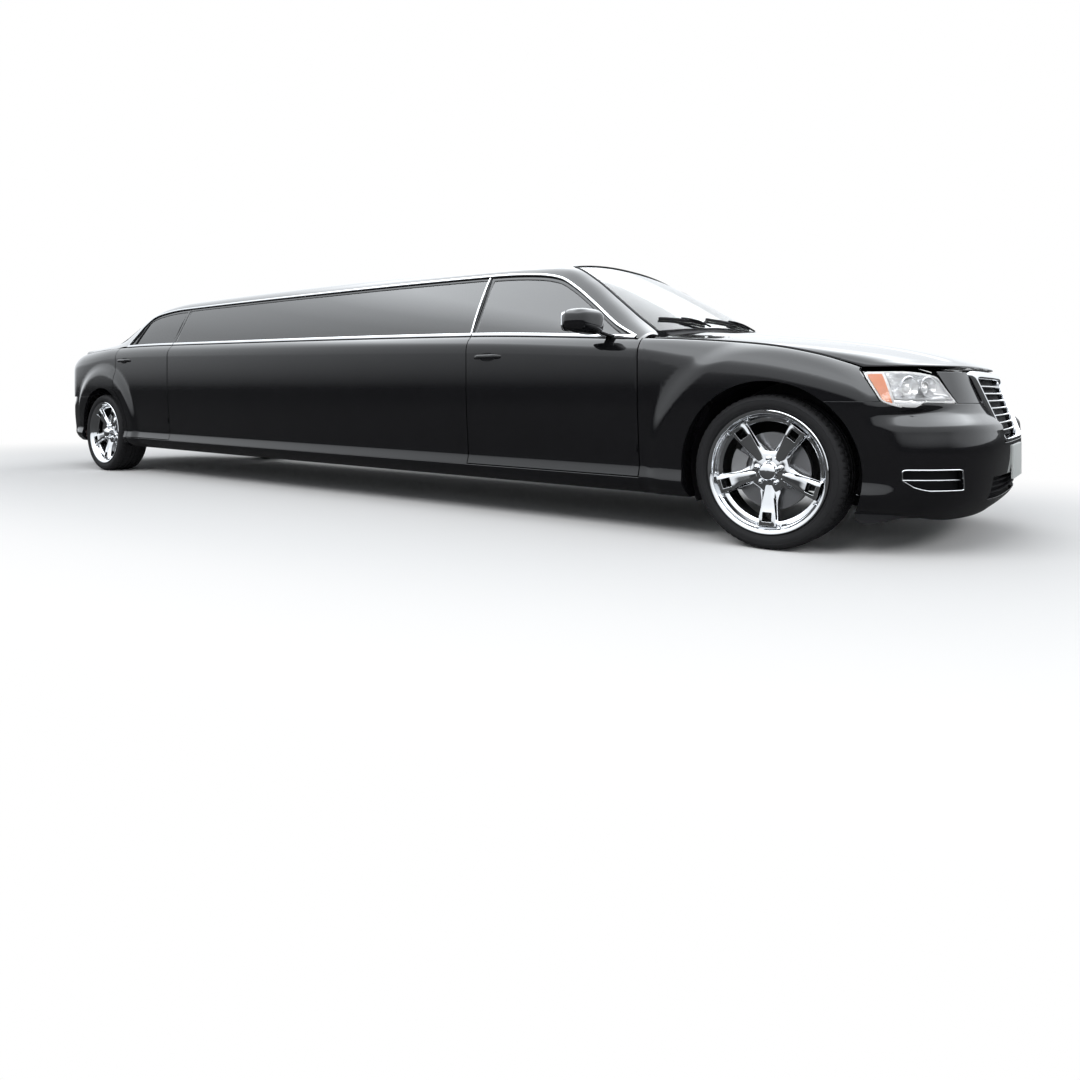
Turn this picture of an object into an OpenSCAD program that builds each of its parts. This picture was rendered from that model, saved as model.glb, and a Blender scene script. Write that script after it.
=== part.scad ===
// Stretch limousine with four doors, hood and boot lid, standing on its wheels.
// Lengths are millimetres. X runs forward, Y to the car's left, Z up, the ground at Z = 0.

/* [Body size] */
// Front wheel centre to rear wheel centre
wheelbase = 6100; // [5000:50:7000]
// Front wheel centre to the tip of the nose
front_overhang = 850; // [840:5:870]
// Rear wheel centre to the end of the tail
rear_overhang = 1140; // [1130:5:1160]
// Width over the flared wheel arches
body_w = 1902; // [1890:2:1930]
// Height of the roof crown
roof_h = 1505; // [1495:1:1530]
// How far the arches stand out from the doors
flare_h = 22; // [16:1:26]

/* [Wheels] */
// Distance between left and right tyre centres
track = 1610; // [1600:2:1620]
// Outer radius of a tyre
tyre_r = 340; // [335:1:345]
// Width of a tyre
tyre_w = 245; // [235:1:250]
// Height of a tyre's side wall
tyre_h = 68; // [64:1:75]
// Radius of the wheel arch opening
arch_r = 398; // [394:1:404]
// Half width of a spoke at the hub
spoke_w = 30; // [26:1:34]

/* [Panels] */
// Thickness of doors and side walls
wall = 100; // [92:1:108]
// Thickness of hood, boot lid and bumpers
skin = 30; // [24:1:34]
// Gap around doors and lids
shut = 6; // [6:0.5:8]
// Thickness of the glass
glass_t = 5; // [4:0.5:6]
// Inward lean of the side glass for each millimetre of height
lean = 0.5; // [0.46:0.01:0.54]
// Width of the frame round a side window
frame_w = 24; // [20:1:28]

/* [Joints] */
// Radius of a door or lid hinge pin
pin_r = 4; // [3.5:0.5:4.5]
// Radial clearance of pins and axles
fit = 0.05; // [0.03:0.01:0.08]
// Radius of the stub axles
stub_r = 26; // [24:1:28]
// Pivot radius at the ends of the steering knuckle
king_r = 14; // [12:1:16]
// Distance of the steering pivot inboard of the tyre centre
scrub = 35; // [30:1:38]

/* [Hidden] */
$fn = 64;
length = front_overhang + wheelbase + rear_overhang;
xf = length / 2 - front_overhang;
xr = xf - wheelbase;
hub_z = tyre_r;
rim_r = tyre_r - tyre_h;
half_w = body_w / 2 - flare_h;
seat_gap = 0.3;
nose_n = 3;
tail_n = 3.3;
rise = roof_h - 1505;
x_door_f = xf - 630;
x_door_b = xf - 1742;
x_rear_f = xr + 1112;
x_rear_b = xr + 236;

// Line where the side walls end at the top: x, z
SHOULDER = [
    [xr - 1120, 868],
    [xr - 1040, 930],
    [xr - 940, 980],
    [xr - 780, 1022],
    [xr - 400, 1066],
    [xr + 345, 1090],
    [xr + 1112, 1083],
    [xf - 1742, 1011],
    [xf - 650, 953],
    [xf - 300, 928],
    [xf, 893],
    [xf + 200, 850],
    [xf + 330, 808],
    [xf + 420, 772]
];
// Lower edge of the side walls: x, z
SILL = [[xr - 500, 250], [xr, 238], [xf, 196], [xf + 400, 190]];
// How far the lower side tucks in: height over the edge, inset
TUCK = [[0, 64], [26, 34], [52, 14], [74, 6], [96, 12], [130, 20], [260, 12], [400, 3], [520, 0], [900, 0]];
// How far the nose lies back: height, inset
NOSE = [[150, 110], [205, 50], [270, 18], [360, 4], [440, 0], [520, 4], [570, 16], [605, 44], [640, 74], [712, 97], [790, 122]];
// How far the tail lies back: height, inset
TAIL = [[230, 120], [290, 52], [360, 16], [450, 2], [540, 0], [600, 8], [650, 34], [700, 50], [800, 50], [900, 62], [960, 84], [1060, 130]];
// Line down the middle of the hood: x, z
HOOD = [[xf - 480, 1030], [xf - 371, 1016], [xf - 151, 988], [xf + 155, 948], [xf + 345, 917], [xf + 481, 889], [xf + 611, 853], [xf + 694, 822], [xf + 756, 786]];
// Line down the middle of the roof: x, z
CROWN = [
    [xr + 480, 1456 + rise],
    [xr + 700, 1481 + rise],
    [xr + 1200, 1501 + rise],
    [(xr + xf) / 2, 1505 + rise],
    [xf - 2400, 1500 + rise],
    [xf - 1700, 1484 + rise],
    [xf - 1400, 1464 + rise],
    [xf - 1222, 1441 + rise]
];
// Edge line of the boot lid down the middle: x, z
DECK = [[xr - 1090, 940], [xr - 1056, 1010], [xr - 1000, 1050], [xr - 850, 1075], [xr - 600, 1100], [xr - 430, 1121]];
// Pillar and roof rail stations: window side x, window top z, roof side x, y, z
RAIL = [
    [xf - 622, 940, xf - 608, half_w - 165, 974],
    [xf - 668, 962, xf - 625, half_w - 187, 994],
    [xf - 795, 1030, xf - 745, half_w - 217, 1078],
    [xf - 939, 1134, xf - 890, half_w - 255, 1184],
    [xf - 1105, 1249, xf - 1056, half_w - 295, 1304],
    [xf - 1240, 1320, xf - 1222, half_w - 323, 1393 + rise],
    [xf - 1457, 1357, xf - 1450, half_w - 329, 1414 + rise],
    [xf - 1801, 1373, xf - 1801, half_w - 329, 1427 + rise],
    [(xf + xr) / 2, 1388, (xf + xr) / 2, half_w - 329, 1458 + rise],
    [xr + 1021, 1392, xr + 1021, half_w - 329, 1463 + rise],
    [xr + 746, 1376, xr + 700, half_w - 329, 1447 + rise],
    [xr + 574, 1342, xr + 480, half_w - 329, 1416 + rise],
    [xr + 477, 1270, xr + 260, half_w - 325, 1366],
    [xr + 421, 1196, xr + 60, half_w - 315, 1290],
    [xr + 352, 1102, xr - 150, half_w - 295, 1195],
    [xr + 222, 1095, xr - 262, half_w - 277, 1148],
    [xr - 200, 1040, xr - 330, half_w - 265, 1122],
    [xr - 494, 1000, xr - 500, half_w - 141, 1086]
];

function mix(a, b, t) = a + (b - a) * t;
function ease(t) = let (c = min(max(t, 0), 1)) c * c * (3 - 2 * c);
function slope(tab, i, k) = let (a = max(i - 1, 0), b = min(i + 1, len(tab) - 1)) (tab[b][k] - tab[a][k]) / (tab[b][0] - tab[a][0]);
function seg(tab, x, i = 0) = i >= len(tab) - 2 || x < tab[i + 1][0] ? i : seg(tab, x, i + 1);

// Smooth line through the rows of a table
function along(tab, q) = let (
    x = min(max(q, tab[0][0]), tab[len(tab) - 1][0]),
    i = seg(tab, x),
    h = tab[i + 1][0] - tab[i][0],
    t = (x - tab[i][0]) / h,
    a = tab[i][1],
    b = tab[i + 1][1],
    m = slope(tab, i, 1) * h,
    n = slope(tab, i + 1, 1) * h
) a + t * (m + t * (3 * (b - a) - 2 * m - n + t * (2 * (a - b) + m + n)));

// Plan of the car: half width at x
function oval(d, reach, n) = d <= 0 ? 1 : pow(max(1 - pow(d / reach, n), 0), 1 / n);
function plan_y(x) = half_w * min(oval(x - xf, front_overhang, nose_n), oval(xr - x, rear_overhang, tail_n));

// Shape of the side wall
function shoulder(x) = along(SHOULDER, x);
function sill(x) = along(SILL, x);
function crest_r(x) = 100 + 60 * ease((x - xf + 650) / 400) + 30 * ease((xr + 100 - x) / 500);
function crest_in(d, r) = let (q = max(0.87 * r - max(d, 0), 0)) r - sqrt(r * r - q * q);
function bulge(x, z, xa) = flare_h * ease((610 - norm([x - xa, z - hub_z])) / 90);
function flare(x, z) = bulge(x, z, xf) + bulge(x, z, xr);
function side_in(x, z) = along(TUCK, z - sill(x)) + crest_in(shoulder(x) - z, crest_r(x)) - flare(x, z);
function side_y(x, z) = plan_y(x) - side_in(x, z);
function back_y(x) = plan_y(x) - wall;
function edge_y(x) = side_y(x, shoulder(x));
function glass_y(x, z) = half_w - 51 - (z - shoulder(x)) * lean;

// Shape of nose and tail: t turns from straight ahead at 0 to the side at 90
function round_end(t, a, n) = let (
    q = min(abs(t), 89.99),
    x = a * pow(cos(q), 2 / n),
    y = half_w * pow(sin(q), 2 / n),
    gx = pow(x / a, n - 1) / a,
    gy = pow(y / half_w, n - 1) / half_w
) [x, y, gx / norm([gx, gy]), gy / norm([gx, gy])];
function end_t(d, a, n) = acos(pow(min(max(d, 0) / a, 1), n / 2));
function nose_in(t, x, z) = let (w = ease((abs(t) - 32) / 40)) mix(along(NOSE, z), side_in(x, z), w);
function tail_in(t, x, z) = let (w = ease((abs(t) - 40) / 36)) mix(along(TAIL, z), side_in(x, z), w);
function nose_at(t, z, more = 0) = let (
    e = round_end(t, front_overhang, nose_n),
    k = nose_in(t, xf + e[0], z) + more
) [xf + e[0] - k * e[2], sign(t) * (e[1] - k * e[3]), z];
function tail_at(t, z, more = 0) = let (
    e = round_end(t, rear_overhang, tail_n),
    k = tail_in(t, xr - e[0], z) + more
) [xr - e[0] + k * e[2], sign(t) * (e[1] - k * e[3]), z];
function face_t(y, n) = asin(pow(min(abs(y) / half_w, 1), n / 2)) * sign(y);
function arch_x(z) = sqrt(max(arch_r * arch_r - (z - hub_z) * (z - hub_z), 1));

// Stations of the pillars and roof rail, counted from the front foot
function rail_col(k, c) = let (i = min(floor(k), len(RAIL) - 2)) mix(RAIL[i][c], RAIL[i + 1][c], k - i);
function rail_low(k) = let (x = rail_col(k, 0), z = max(rail_col(k, 1), shoulder(x) + 0.8)) [x, min(glass_y(x, z), edge_y(x) + 2), z];
function rail_top(k) = [rail_col(k, 2), rail_col(k, 3), rail_col(k, 4)];
function window_z(x) = lookup(x, [for (i = [14:-1:1]) [RAIL[i][0], RAIL[i][1]]]);

// Solid between two matching grids of points
module slab(a, b) {
    r = len(a);
    c = len(a[0]);
    n = r * c;
    pts = concat([for (row = a) each row], [for (row = b) each row]);
    rim = concat(
        [for (j = [0:c - 1]) j],
        [for (i = [1:r - 1]) i * c + c - 1],
        [for (j = [c - 2:-1:0]) (r - 1) * c + j],
        [for (i = [r - 2:-1:1]) i * c]
    );
    front = [for (i = [0:r - 2], j = [0:c - 2]) [i * c + j, i * c + j + 1, i * c + c + j + 1, i * c + c + j]];
    quads = concat(
        front,
        [for (q = front) [q[3] + n, q[2] + n, q[1] + n, q[0] + n]],
        [for (i = [0:len(rim) - 1]) let (p = rim[i], q = rim[(i + 1) % len(rim)]) [q, p, p + n, q + n]]
    );
    solid(pts, quads);
}

// Solid whose sections are closed loops, joined end to end as a ring
module ring(loops) {
    r = len(loops);
    c = len(loops[0]);
    pts = [for (row = loops) each row];
    quads = [for (i = [0:r - 1], j = [0:c - 1])
        [i * c + j, i * c + (j + 1) % c, ((i + 1) % r) * c + (j + 1) % c, ((i + 1) % r) * c + j]];
    solid(pts, quads);
}

// Closed surface from four cornered faces, turned outside out
module solid(pts, quads) {
    tris = [for (q = quads) each [[q[0], q[1], q[2]], [q[0], q[2], q[3]]]];
    vol = [for (t = tris) cross(pts[t[0]], pts[t[1]]) * pts[t[2]]];
    out = vol * [for (v = vol) 1] < 0;
    polyhedron(pts, [for (t = tris) out ? t : [t[0], t[2], t[1]]], convexity = 8);
}

module both() {
    children();
    mirror([0, 1, 0]) children();
}
module on_side(s) {
    if (s > 0) children();
    if (s < 0) mirror([0, 1, 0]) children();
}
module box(lo, hi) {
    translate(lo) cube(hi - lo);
}
module rod(a, b, r) {
    d = b - a;
    translate(a) rotate([0, acos(d[2] / norm(d)), atan2(d[1], d[0])]) cylinder(r = r, h = norm(d));
}

// Side wall patch: rows of height shares between two edges given as lists of x
ROWS = [0, 0.06, 0.14, 0.3, 0.48, 0.64, 0.76, 0.85, 0.91, 0.95, 0.98, 1];
module wall_patch(z0, front, back, cols, nose = 0, taper = 0, rows = ROWS) {
    us = concat(nose > 0 ? [0, nose / (front - x_at(back, 0))] : [0], [for (j = [1:cols]) j / cols]);
    outer = [for (f = rows) [for (u = us) let (
        x = mix(front, x_at(back, f), u),
        z = mix(sill(x) + z0, shoulder(x), f)
    ) [x, min(side_y(x, z), u == 0 && nose > 0 ? half_w - nose : half_w + flare_h), z]]];
    inner = [for (f = rows) [for (u = us) let (
        x = mix(front, x_at(back, f), u),
        z = mix(sill(x) + z0, shoulder(x), f)
    ) [x + taper * u, back_y(x), z]]];
    slab(outer, inner);
}
function x_at(edge, f) = is_list(edge) ? lookup(f, edge) : edge;

// Frame round a side window, and the pane inside it, between two x positions
WIN_COLS = 12;
function win_loop(x0, x1, in0, in1, low, top, deep) = concat(
    [for (j = [0:WIN_COLS]) let (x = mix(x0 - in0, x1 + in1, j / WIN_COLS)) glass_pt(x, shoulder(x) + low, deep)],
    [for (j = [WIN_COLS:-1:0]) let (x = mix(x0 - in0, x1 + in1, j / WIN_COLS))
        glass_pt(x, max(window_z(x) - top, shoulder(x) + low + 8), deep)]
);
function glass_pt(x, z, deep) = [x, glass_y(x, z) - deep, z];
module window_frame(x0, x1, post0, post1, gap) {
    ring([
        win_loop(x0, x1, 0, 0, -40, gap, 4),
        win_loop(x0, x1, post0, post1, 14, gap + frame_w, 4),
        win_loop(x0, x1, post0, post1, 14, gap + frame_w, 44),
        win_loop(x0, x1, 0, 0, -40, gap, 44)
    ]);
}
module pane(x0, x1, post0, post1, gap) {
    s = seat_gap;
    rows = [for (d = [8, 8 + glass_t]) [for (f = [0, 0.5, 1]) [for (j = [0:WIN_COLS]) let (
        x = mix(x0 - post0 - s, x1 + post1 + s, j / WIN_COLS),
        lo = shoulder(x) + 14 + s,
        hi = max(window_z(x) - gap - frame_w - s, lo + 7)
    ) glass_pt(x, mix(lo, hi, f), d)]]];
    slab(rows[0], rows[1]);
}

PAINT = [0.08, 0.08, 0.09];
STEEL = [0.55, 0.56, 0.58];
CHROME = [0.85, 0.86, 0.88];
DARK = [0.16, 0.16, 0.17];
GLASS = [0.25, 0.3, 0.32, 0.6];
LEATHER = [0.3, 0.29, 0.28];

// Front fender and rear quarter: from the arch at the given turns to an outline of x, z
module arch_panel(xa, outline, turns) {
    n = len(outline) - 1;
    steps = [0, 0.12, 0.3, 0.55, 0.78, 0.9, 0.96, 1];
    flat = [for (f = steps) [for (k = [0:n]) let (
        q = [xa + arch_r * cos(turns[k]), hub_z + arch_r * sin(turns[k])]
    ) q + (outline[k] - q) * f]];
    slab(
        [for (row = flat) [for (q = row) [q[0], side_y(q[0], q[1]), q[1]]]],
        [for (row = flat) [for (q = row) [q[0], back_y(q[0]), q[1]]]]
    );
}

SEAM_Z = 650;
// Outer end of the headlamp: height, distance ahead of the axle
LAMP_X = [[650, 466], [780, 396]];
function lamp_t(z) = end_t(lookup(z, LAMP_X), front_overhang, nose_n);
function lamp_x(z) = nose_at(lamp_t(z), z)[0] - 9;
TAIL_T = end_t(905, rear_overhang, tail_n);
function tail_x(z) = tail_at(TAIL_T, z)[0] + 9;
module fender() {
    low = sill(xf - 500);
    outline = concat(
        [for (i = [0:5]) [x_door_f, mix(low, shoulder(x_door_f), i / 5)]],
        [for (i = [1:9]) let (x = mix(x_door_f, lamp_x(780), i / 9)) [x, shoulder(x)]],
        [for (z = [731, 688, SEAM_Z + seat_gap]) [lamp_x(z), z]]
    );
    a0 = 180 + asin((hub_z - low) / arch_r);
    a1 = asin((SEAM_Z + seat_gap - hub_z) / arch_r);
    n = len(outline) - 1;
    arch_panel(xf, outline, [for (k = [0:n]) mix(a0, a1, k / n)]);
}

TAIL_SEAM = 660;
module quarter() {
    low = sill(xr + 400);
    x_lamp = tail_x(960);
    outline = concat(
        [for (f = edge_rows(low, shoulder(x_rear_b), shut)) let (z = mix(low, shoulder(x_rear_b), f)) [rear_edge(z, shut), z]],
        [for (i = [1:10]) let (x = mix(x_rear_b - shut, x_lamp, i / 10)) [x, shoulder(x)]],
        [for (z = [925, 865, 765, TAIL_SEAM + seat_gap]) [tail_x(z), z]]
    );
    a0 = -asin((hub_z - low) / arch_r);
    a1 = 180 - asin((TAIL_SEAM + seat_gap - hub_z) / arch_r);
    turns = [for (q = outline) atan2(q[1] - hub_z, q[0] - xr)];
    first = turns[0];
    last = turns[len(turns) - 1];
    top = atan2(shoulder(x_rear_b) - hub_z, x_rear_b - shut - xr);
    arch_panel(xr, outline, [for (a = turns) a < top ? mix(a0, top, (a - first) / (top - first)) : mix(top, a1, (a - top) / (last - top))]);
}

// Rear edge of the rear door: round the arch, then up to the window
door_r = arch_r + 52;
function rear_edge(z, g = 0) = max(xr + sqrt(max(pow(door_r - g, 2) - pow(z - hub_z, 2), 0)), x_rear_b - g);
// Rows of that edge between two heights, with one at the corner where the round part ends
function edge_corner(g) = hub_z + sqrt(pow(door_r - g, 2) - pow(x_rear_b - g - xr, 2));
function edge_rows(z0, z1, g = 0) = let (c = (edge_corner(g) - z0) / (z1 - z0)) concat(
    [for (f = REAR_ROWS) if (f < c - 0.03) f],
    [c],
    [for (f = REAR_ROWS) if (f > c + 0.03) f]
);
REAR_ROWS = [0, 0.06, 0.13, 0.2, 0.28, 0.36, 0.43, 0.5, 0.57, 0.64, 0.76, 0.85, 0.91, 0.95, 0.98, 1];

// Door hinge: the pin turns with the door, the arm is seated on the wall ahead
pin_in = 12;
eye_r = pin_r + 3.5;
arm_h = 40;
// Room for the arm as the door turns: reach, angle
POCKET = [[6.5, 180], [8, -100], [92, -92], [90, -60], [60, -30], [60, 0], [40, 16], [16, 30], [6.5, 95]];
function door_pin(x) = [x - pin_in, half_w - pin_in];
module door_arm(x, z) {
    p = door_pin(x);
    difference() {
        union() {
            translate([p[0], p[1], z]) cylinder(r = eye_r, h = arm_h, center = true);
            translate([p[0], p[1], z]) rotate([0, 0, -60])
                translate([0, -4, 1 - arm_h / 2]) cube([44, 8, arm_h - 2]);
        }
        translate([p[0], p[1], z]) cylinder(r = pin_r + fit, h = arm_h + 2, center = true);
        box([x + shut - seat_gap, p[1] - 60, z - arm_h], [x + shut + 60, p[1] + 20, z + arm_h]);
    }
}
module hinge_arms() {
    for (z = FRONT_HINGES) door_arm(x_door_f - shut, z);
    for (z = REAR_HINGES) door_arm(x_rear_f - shut, z);
}
module door_pocket(x, z) {
    p = door_pin(x);
    h = arm_h + 1;
    difference() {
        union() {
            translate([p[0], p[1], z]) cylinder(r = eye_r + 0.5, h = h, center = true);
            translate([p[0], p[1], z - h / 2]) linear_extrude(h)
                polygon([for (a = POCKET) a[0] * [cos(a[1]), sin(a[1])]]);
        }
        translate([p[0], p[1], z]) cylinder(r = pin_r, h = h + 2, center = true);
    }
}

// A door: wall below the belt, frame above, hinge pockets at its front edge
module door(front, back, win_front, win_back, post0, post1, hinges, rows = ROWS) {
    difference() {
        union() {
            wall_patch(84, front, back, 6, pin_in, 14, rows);
            window_frame(win_front, win_back, post0, post1, 6);
            handle_grip(x_at(back, 0.85) + 60);
        }
        for (z = hinges) door_pocket(front, z);
    }
}
module handle_grip(x) {
    z = shoulder(x + 90) - 132;
    y = side_y(x + 90, z) - 6;
    difference() {
        box([x, y, z], [x + 190, y + 38, z + 26]);
        box([x + 16, y + 4, z - 1], [x + 174, y + 24, z + 27]);
    }
}
FRONT_HINGES = [420, 800];
REAR_HINGES = [470, 880];
module front_door() {
    door(x_door_f - shut, x_door_b + shut / 2, xf - 672, x_door_b + shut / 2, 44, 26, FRONT_HINGES);
}
module rear_door() {
    z0 = sill(xr + 420) + 84;
    z1 = shoulder(xr + 290);
    rows = edge_rows(z0, z1);
    edge = [for (f = rows) [f, rear_edge(mix(z0, z1, f))]];
    door(x_rear_f - shut, edge, x_rear_f - shut, xr + 352, 26, 30, REAR_HINGES, rows);
}
module front_pane() {
    pane(xf - 672, x_door_b + shut / 2, 44, 26, 6);
}
module rear_pane() {
    pane(x_rear_f - shut, xr + 352, 26, 30, 6);
}

module side_panel() {
    wall_patch(78, x_door_b - shut / 2, x_rear_f, 6);
    window_frame(x_door_b - shut / 2, x_rear_f, 22, 22, seat_gap);
}
module side_pane() {
    pane(x_door_b - shut / 2, x_rear_f, 22, 22, seat_gap);
}

module sill_panel() {
    x0 = x_door_f - seat_gap;
    x1 = xr + door_r;
    us = [for (i = [0:6]) mix(x0, x1, i / 6)];
    hs = [0, 26, 52, 66, 77.7];
    slab(
        [for (h = hs) [for (x = us) [x, side_y(x, sill(x) + h), sill(x) + h]]],
        [for (h = hs) [for (x = us) [x, back_y(x), sill(x) + h]]]
    );
}

// Pillars, roof rail and rear pillar in one strip on each side
module rail() {
    ks = [for (k = [0:0.5:17]) k];
    fs = [0, 0.35, 0.7, 1];
    outer = [for (f = fs) [for (k = ks) let (
        a = rail_low(k),
        b = rail_top(k),
        p = a + (b - a) * f
    ) p + [0, 0.6, 0.8] * 14 * sin(180 * f)]];
    inner = [for (i = [0:3]) [for (j = [0:len(ks) - 1]) outer[i][j] - mix(14, 40, min(ks[j], 1)) * [0, cos(90 * fs[i]), sin(90 * fs[i])]]];
    slab(outer, inner);
}

// Patch between left and right rail stations k0 and k1, c giving its middle line
module over(k0, k1, rows, cols, mid, thick, bow = 0) {
    ks = [for (i = [0:rows]) mix(k0, k1, i / rows)];
    us = [for (j = [0:cols]) 2 * j / cols - 1];
    outer = [for (i = [0:rows]) [for (u = us) let (
        e = rail_top(ks[i]),
        c = mid[i],
        w = pow(abs(u), 2.3)
    ) [mix(c[0], e[0], w), u * (e[1] - seat_gap), mix(c[1], e[2], w) + bow * sin(180 * i / rows) * (1 - w)]]];
    slab(outer, [for (row = outer) [for (p = row) p - [0, 0, thick]]]);
}

module hood() {
    difference() {
        hood_skin();
        both() lid_pocket(hood_pin, [[eye_r + 0.5, 0], [20, -60], [-60, -60], [-60, 4], [-eye_r - 0.5, 4]]);
    }
}
module boot_lid() {
    difference() {
        boot_skin();
        both() lid_pocket(boot_pin, [[0, 8], [-8, 0], [-8, -60], [60, -60], [60, 8]]);
        both() translate([xr - rear_overhang, plate_hole_y, 760]) rotate([0, 90, 0]) cylinder(r = 3.5, h = 120);
    }
}
module hood_skin() {
    us = [for (j = [0:12]) j / 6 - 1];
    vs = [0, 0.12, 0.25, 0.4, 0.55, 0.7, 0.82, 0.9, 0.96, 1];
    outer = [for (v = vs) [for (u = us) hood_at(u, v)]];
    inner = [for (i = [0:9]) [for (p = outer[i]) p - [0, 0, mix(skin, 12, ease((vs[i] - 0.7) / 0.26))]]];
    slab(outer, inner);
}
function hood_at(u, v) = let (
    t1 = end_t(394, front_overhang, nose_n),
    f = nose_at(t1 * u, 788),
    f1 = nose_at(t1, 788),
    g = u == 0 ? 0 : f[1] / f1[1],
    w = pow(abs(g), 2.3),
    xe = mix(xf - 600, f1[0], v),
    xm = mix(xf - 404, xf + front_overhang - 121, v),
    x = mix(hood_rear(g * (half_w - wall - shut)), f[0], v),
    y = g * (back_y(xe) - shut),
    z = mix(along(HOOD, xm), shoulder(xe) + 10, w)
) [x, y, max(z, 793 - 4 * w)];

module boot_skin() {
    us = [for (j = [0:12]) j / 6 - 1];
    vs = [0, 0.2, 0.45, 0.7, 0.85, 0.93, 1];
    outer = [for (v = vs) [for (u = us) let (
        w = pow(abs(u), 2.3),
        xm = mix(xr - 522, xr - 1056, v),
        xe = mix(xr - 522, xr - 880, v),
        x = mix(xm, xe, w)
    ) [x - (v == 0 ? 6 : 0), u * (back_y(xe) - shut - (v == 0 ? 6 : 0)), mix(along(DECK, xm), shoulder(xe) + 12, w)]]];
    slab(outer, [for (i = [0:6]) [for (p = outer[i]) p - [i == 0 ? -6 : 0, 0, skin]]]);
    zs = [670, 760, 840, 920, 975, 1010];
    us2 = [for (j = [0:8]) j / 4 - 1];
    face = [for (m = [0, skin]) [for (z = zs) [for (u = us2) tail_face(u * (half_w - 341), z, m)]]];
    slab(face[0], face[1]);
}
function tail_face(y, z, m) = let (p = tail_at(face_t(y == 0 ? 0.01 : y, tail_n), z, m)) [p[0], y, z];
function nose_face(y, z, m) = let (p = nose_at(face_t(y == 0 ? 0.01 : y, nose_n), z, m)) [p[0], y, z];

// Wheels are drawn lying flat, then turned so that Z points outboard
module wheel_place(x, s) {
    on_side(s) translate([x, track / 2, hub_z]) rotate([-90, 0, 0]) children();
}
module rim() {
    r = rim_r;
    difference() {
        union() {
            rotate_extrude($fn = 96) polygon([
                [r, -118], [r, -106], [r - 14, -104], [r - 14, 104], [r, 106], [r, 118],
                [r - 10, 118], [r - 18, 108], [r - 20, 96], [r - 30, 90], [r - 32, 60],
                [r - 28, 40], [r - 26, -104], [r - 14, -118]
            ]);
            rotate_extrude($fn = 96) polygon([[0, 48], [76, 48], [90, 52], [r - 30, 54], [r - 30, 86], [90, 90], [44, 92], [34, 104], [0, 110]]);
        }
        for (i = [0:4]) rotate(72 * i + 36 + 90) spoke_gap();
        for (i = [0:4]) rotate(72 * i + 90) translate([r - 94, -21, 40]) cube([40, 42, 60]);
        translate([0, 0, 20]) cylinder(r = stub_r + fit, h = 60);
    }
}
module spoke_gap() {
    ro = rim_r - 38;
    a = 36 - 10.5;
    ci = rim_r / 2 + 1;
    cr = ci * sin(36) - spoke_w - 2;
    translate([0, 0, 30]) linear_extrude(80) polygon(concat(
        [for (i = [-6:6]) ro * [cos(a * i / 6), sin(a * i / 6)]],
        [for (i = [0:10]) [ci, 0] + cr * [cos(80 + 20 * i), sin(80 + 20 * i)]]
    ));
}
module tyre() {
    h = tyre_w / 2;
    b = rim_r - 14 + seat_gap;
    rotate_extrude($fn = 96) polygon([
        [b, -103.5], [rim_r + 1, -105], [rim_r + 6, -h + 8], [rim_r + 28, -h], [tyre_r - 24, -h], [tyre_r - 8, -h + 12],
        [tyre_r - 2, -h + 28], [tyre_r, -h + 48], [tyre_r, h - 48], [tyre_r - 2, h - 28], [tyre_r - 8, h - 12],
        [tyre_r - 24, h], [rim_r + 28, h], [rim_r + 6, h - 8], [rim_r + 1, 105], [b, 103.5]
    ]);
}
module disc() {
    rotate_extrude($fn = 96) polygon([
        [stub_r + fit, 38], [74, 38], [74, 22], [92, 22], [92, 2], [172, 2], [172, 28], [84, 28], [84, 47.7], [stub_r + fit, 47.7]
    ]);
}

// Upright with stub axle and caliper, in wheel position, pivot ends free at its top and bottom
module stub() {
    translate([0, 0, -80]) cylinder(r = stub_r + 14, h = 82);
    translate([0, 0, -80]) cylinder(r = stub_r, h = 158);
}
module caliper() {
    difference() {
        rotate([0, 0, 150]) rotate_extrude(angle = 60, $fn = 96) polygon([[118, -44], [186, -44], [186, 44], [118, 44]]);
        translate([0, 0, -3]) cylinder(r = 177, h = 36);
    }
}
module knuckle() {
    translate([xf, track / 2, hub_z]) {
        rotate([-90, 0, 0]) {
            stub();
            caliper();
            rotate([0, 0, 180]) translate([20, -24, -80]) cube([130, 48, 40]);
        }
        translate([0, -scrub, -128]) cylinder(r = king_r, h = 60);
        translate([0, -scrub, 78]) cylinder(r = king_r, h = 60);
        translate([-24, -scrub - 45, -92]) cube([48, 40, 184]);
        for (z = [-92, 68]) translate([-24, -scrub - 45, z]) cube([48, 68, 24]);
    }
}

module chassis() {
    z0 = floor_top() - 24;
    y1 = half_w - wall;
    box([xr + 470, -y1, z0], [xf - 620, y1, z0 + 24]);
    both() box([xr + 470, 330, z0 - 44], [xf - 560, 420, z0]);
    box([xf - 620, -y1, 300], [xf - 580, y1, 900]);
    box([xf - 640, -430, z0], [xf - 560, 430, 320]);
    both() box([xf - 590, 330, 300], [xf + 690, 410, 400]);
    both() box([xf - 40, 360, 390], [xf + 40, 429.7, 470]);
    box([xf + 640, -560, 420], [xf + 690, 560, 520]);
    both() box([xf + 560, 330, 390], [xf + 690, 410, 430]);
    box([xr + 470, -y1 + 8, z0], [xr + 496, y1 - 8, 470]);
    box([xr - 960, -480, 444], [xr + 496, 480, 470]);
    both() box([xr - 960, 400, 372], [xr + 496, 480, 450]);
    both() hood_arm();
    both() boot_arm();
    y2 = back_y(xr - 500) - 1;
    box([xr - 500, -y2, 1000], [xr - 450, y2, 1040]);
}

// Lid hinges: the pin turns with the lid, the arm stays on the body
hood_pin = [xf - 570, 0.845 * half_w, 953];
boot_pin = [xr - 524, 180, 1096];
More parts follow.
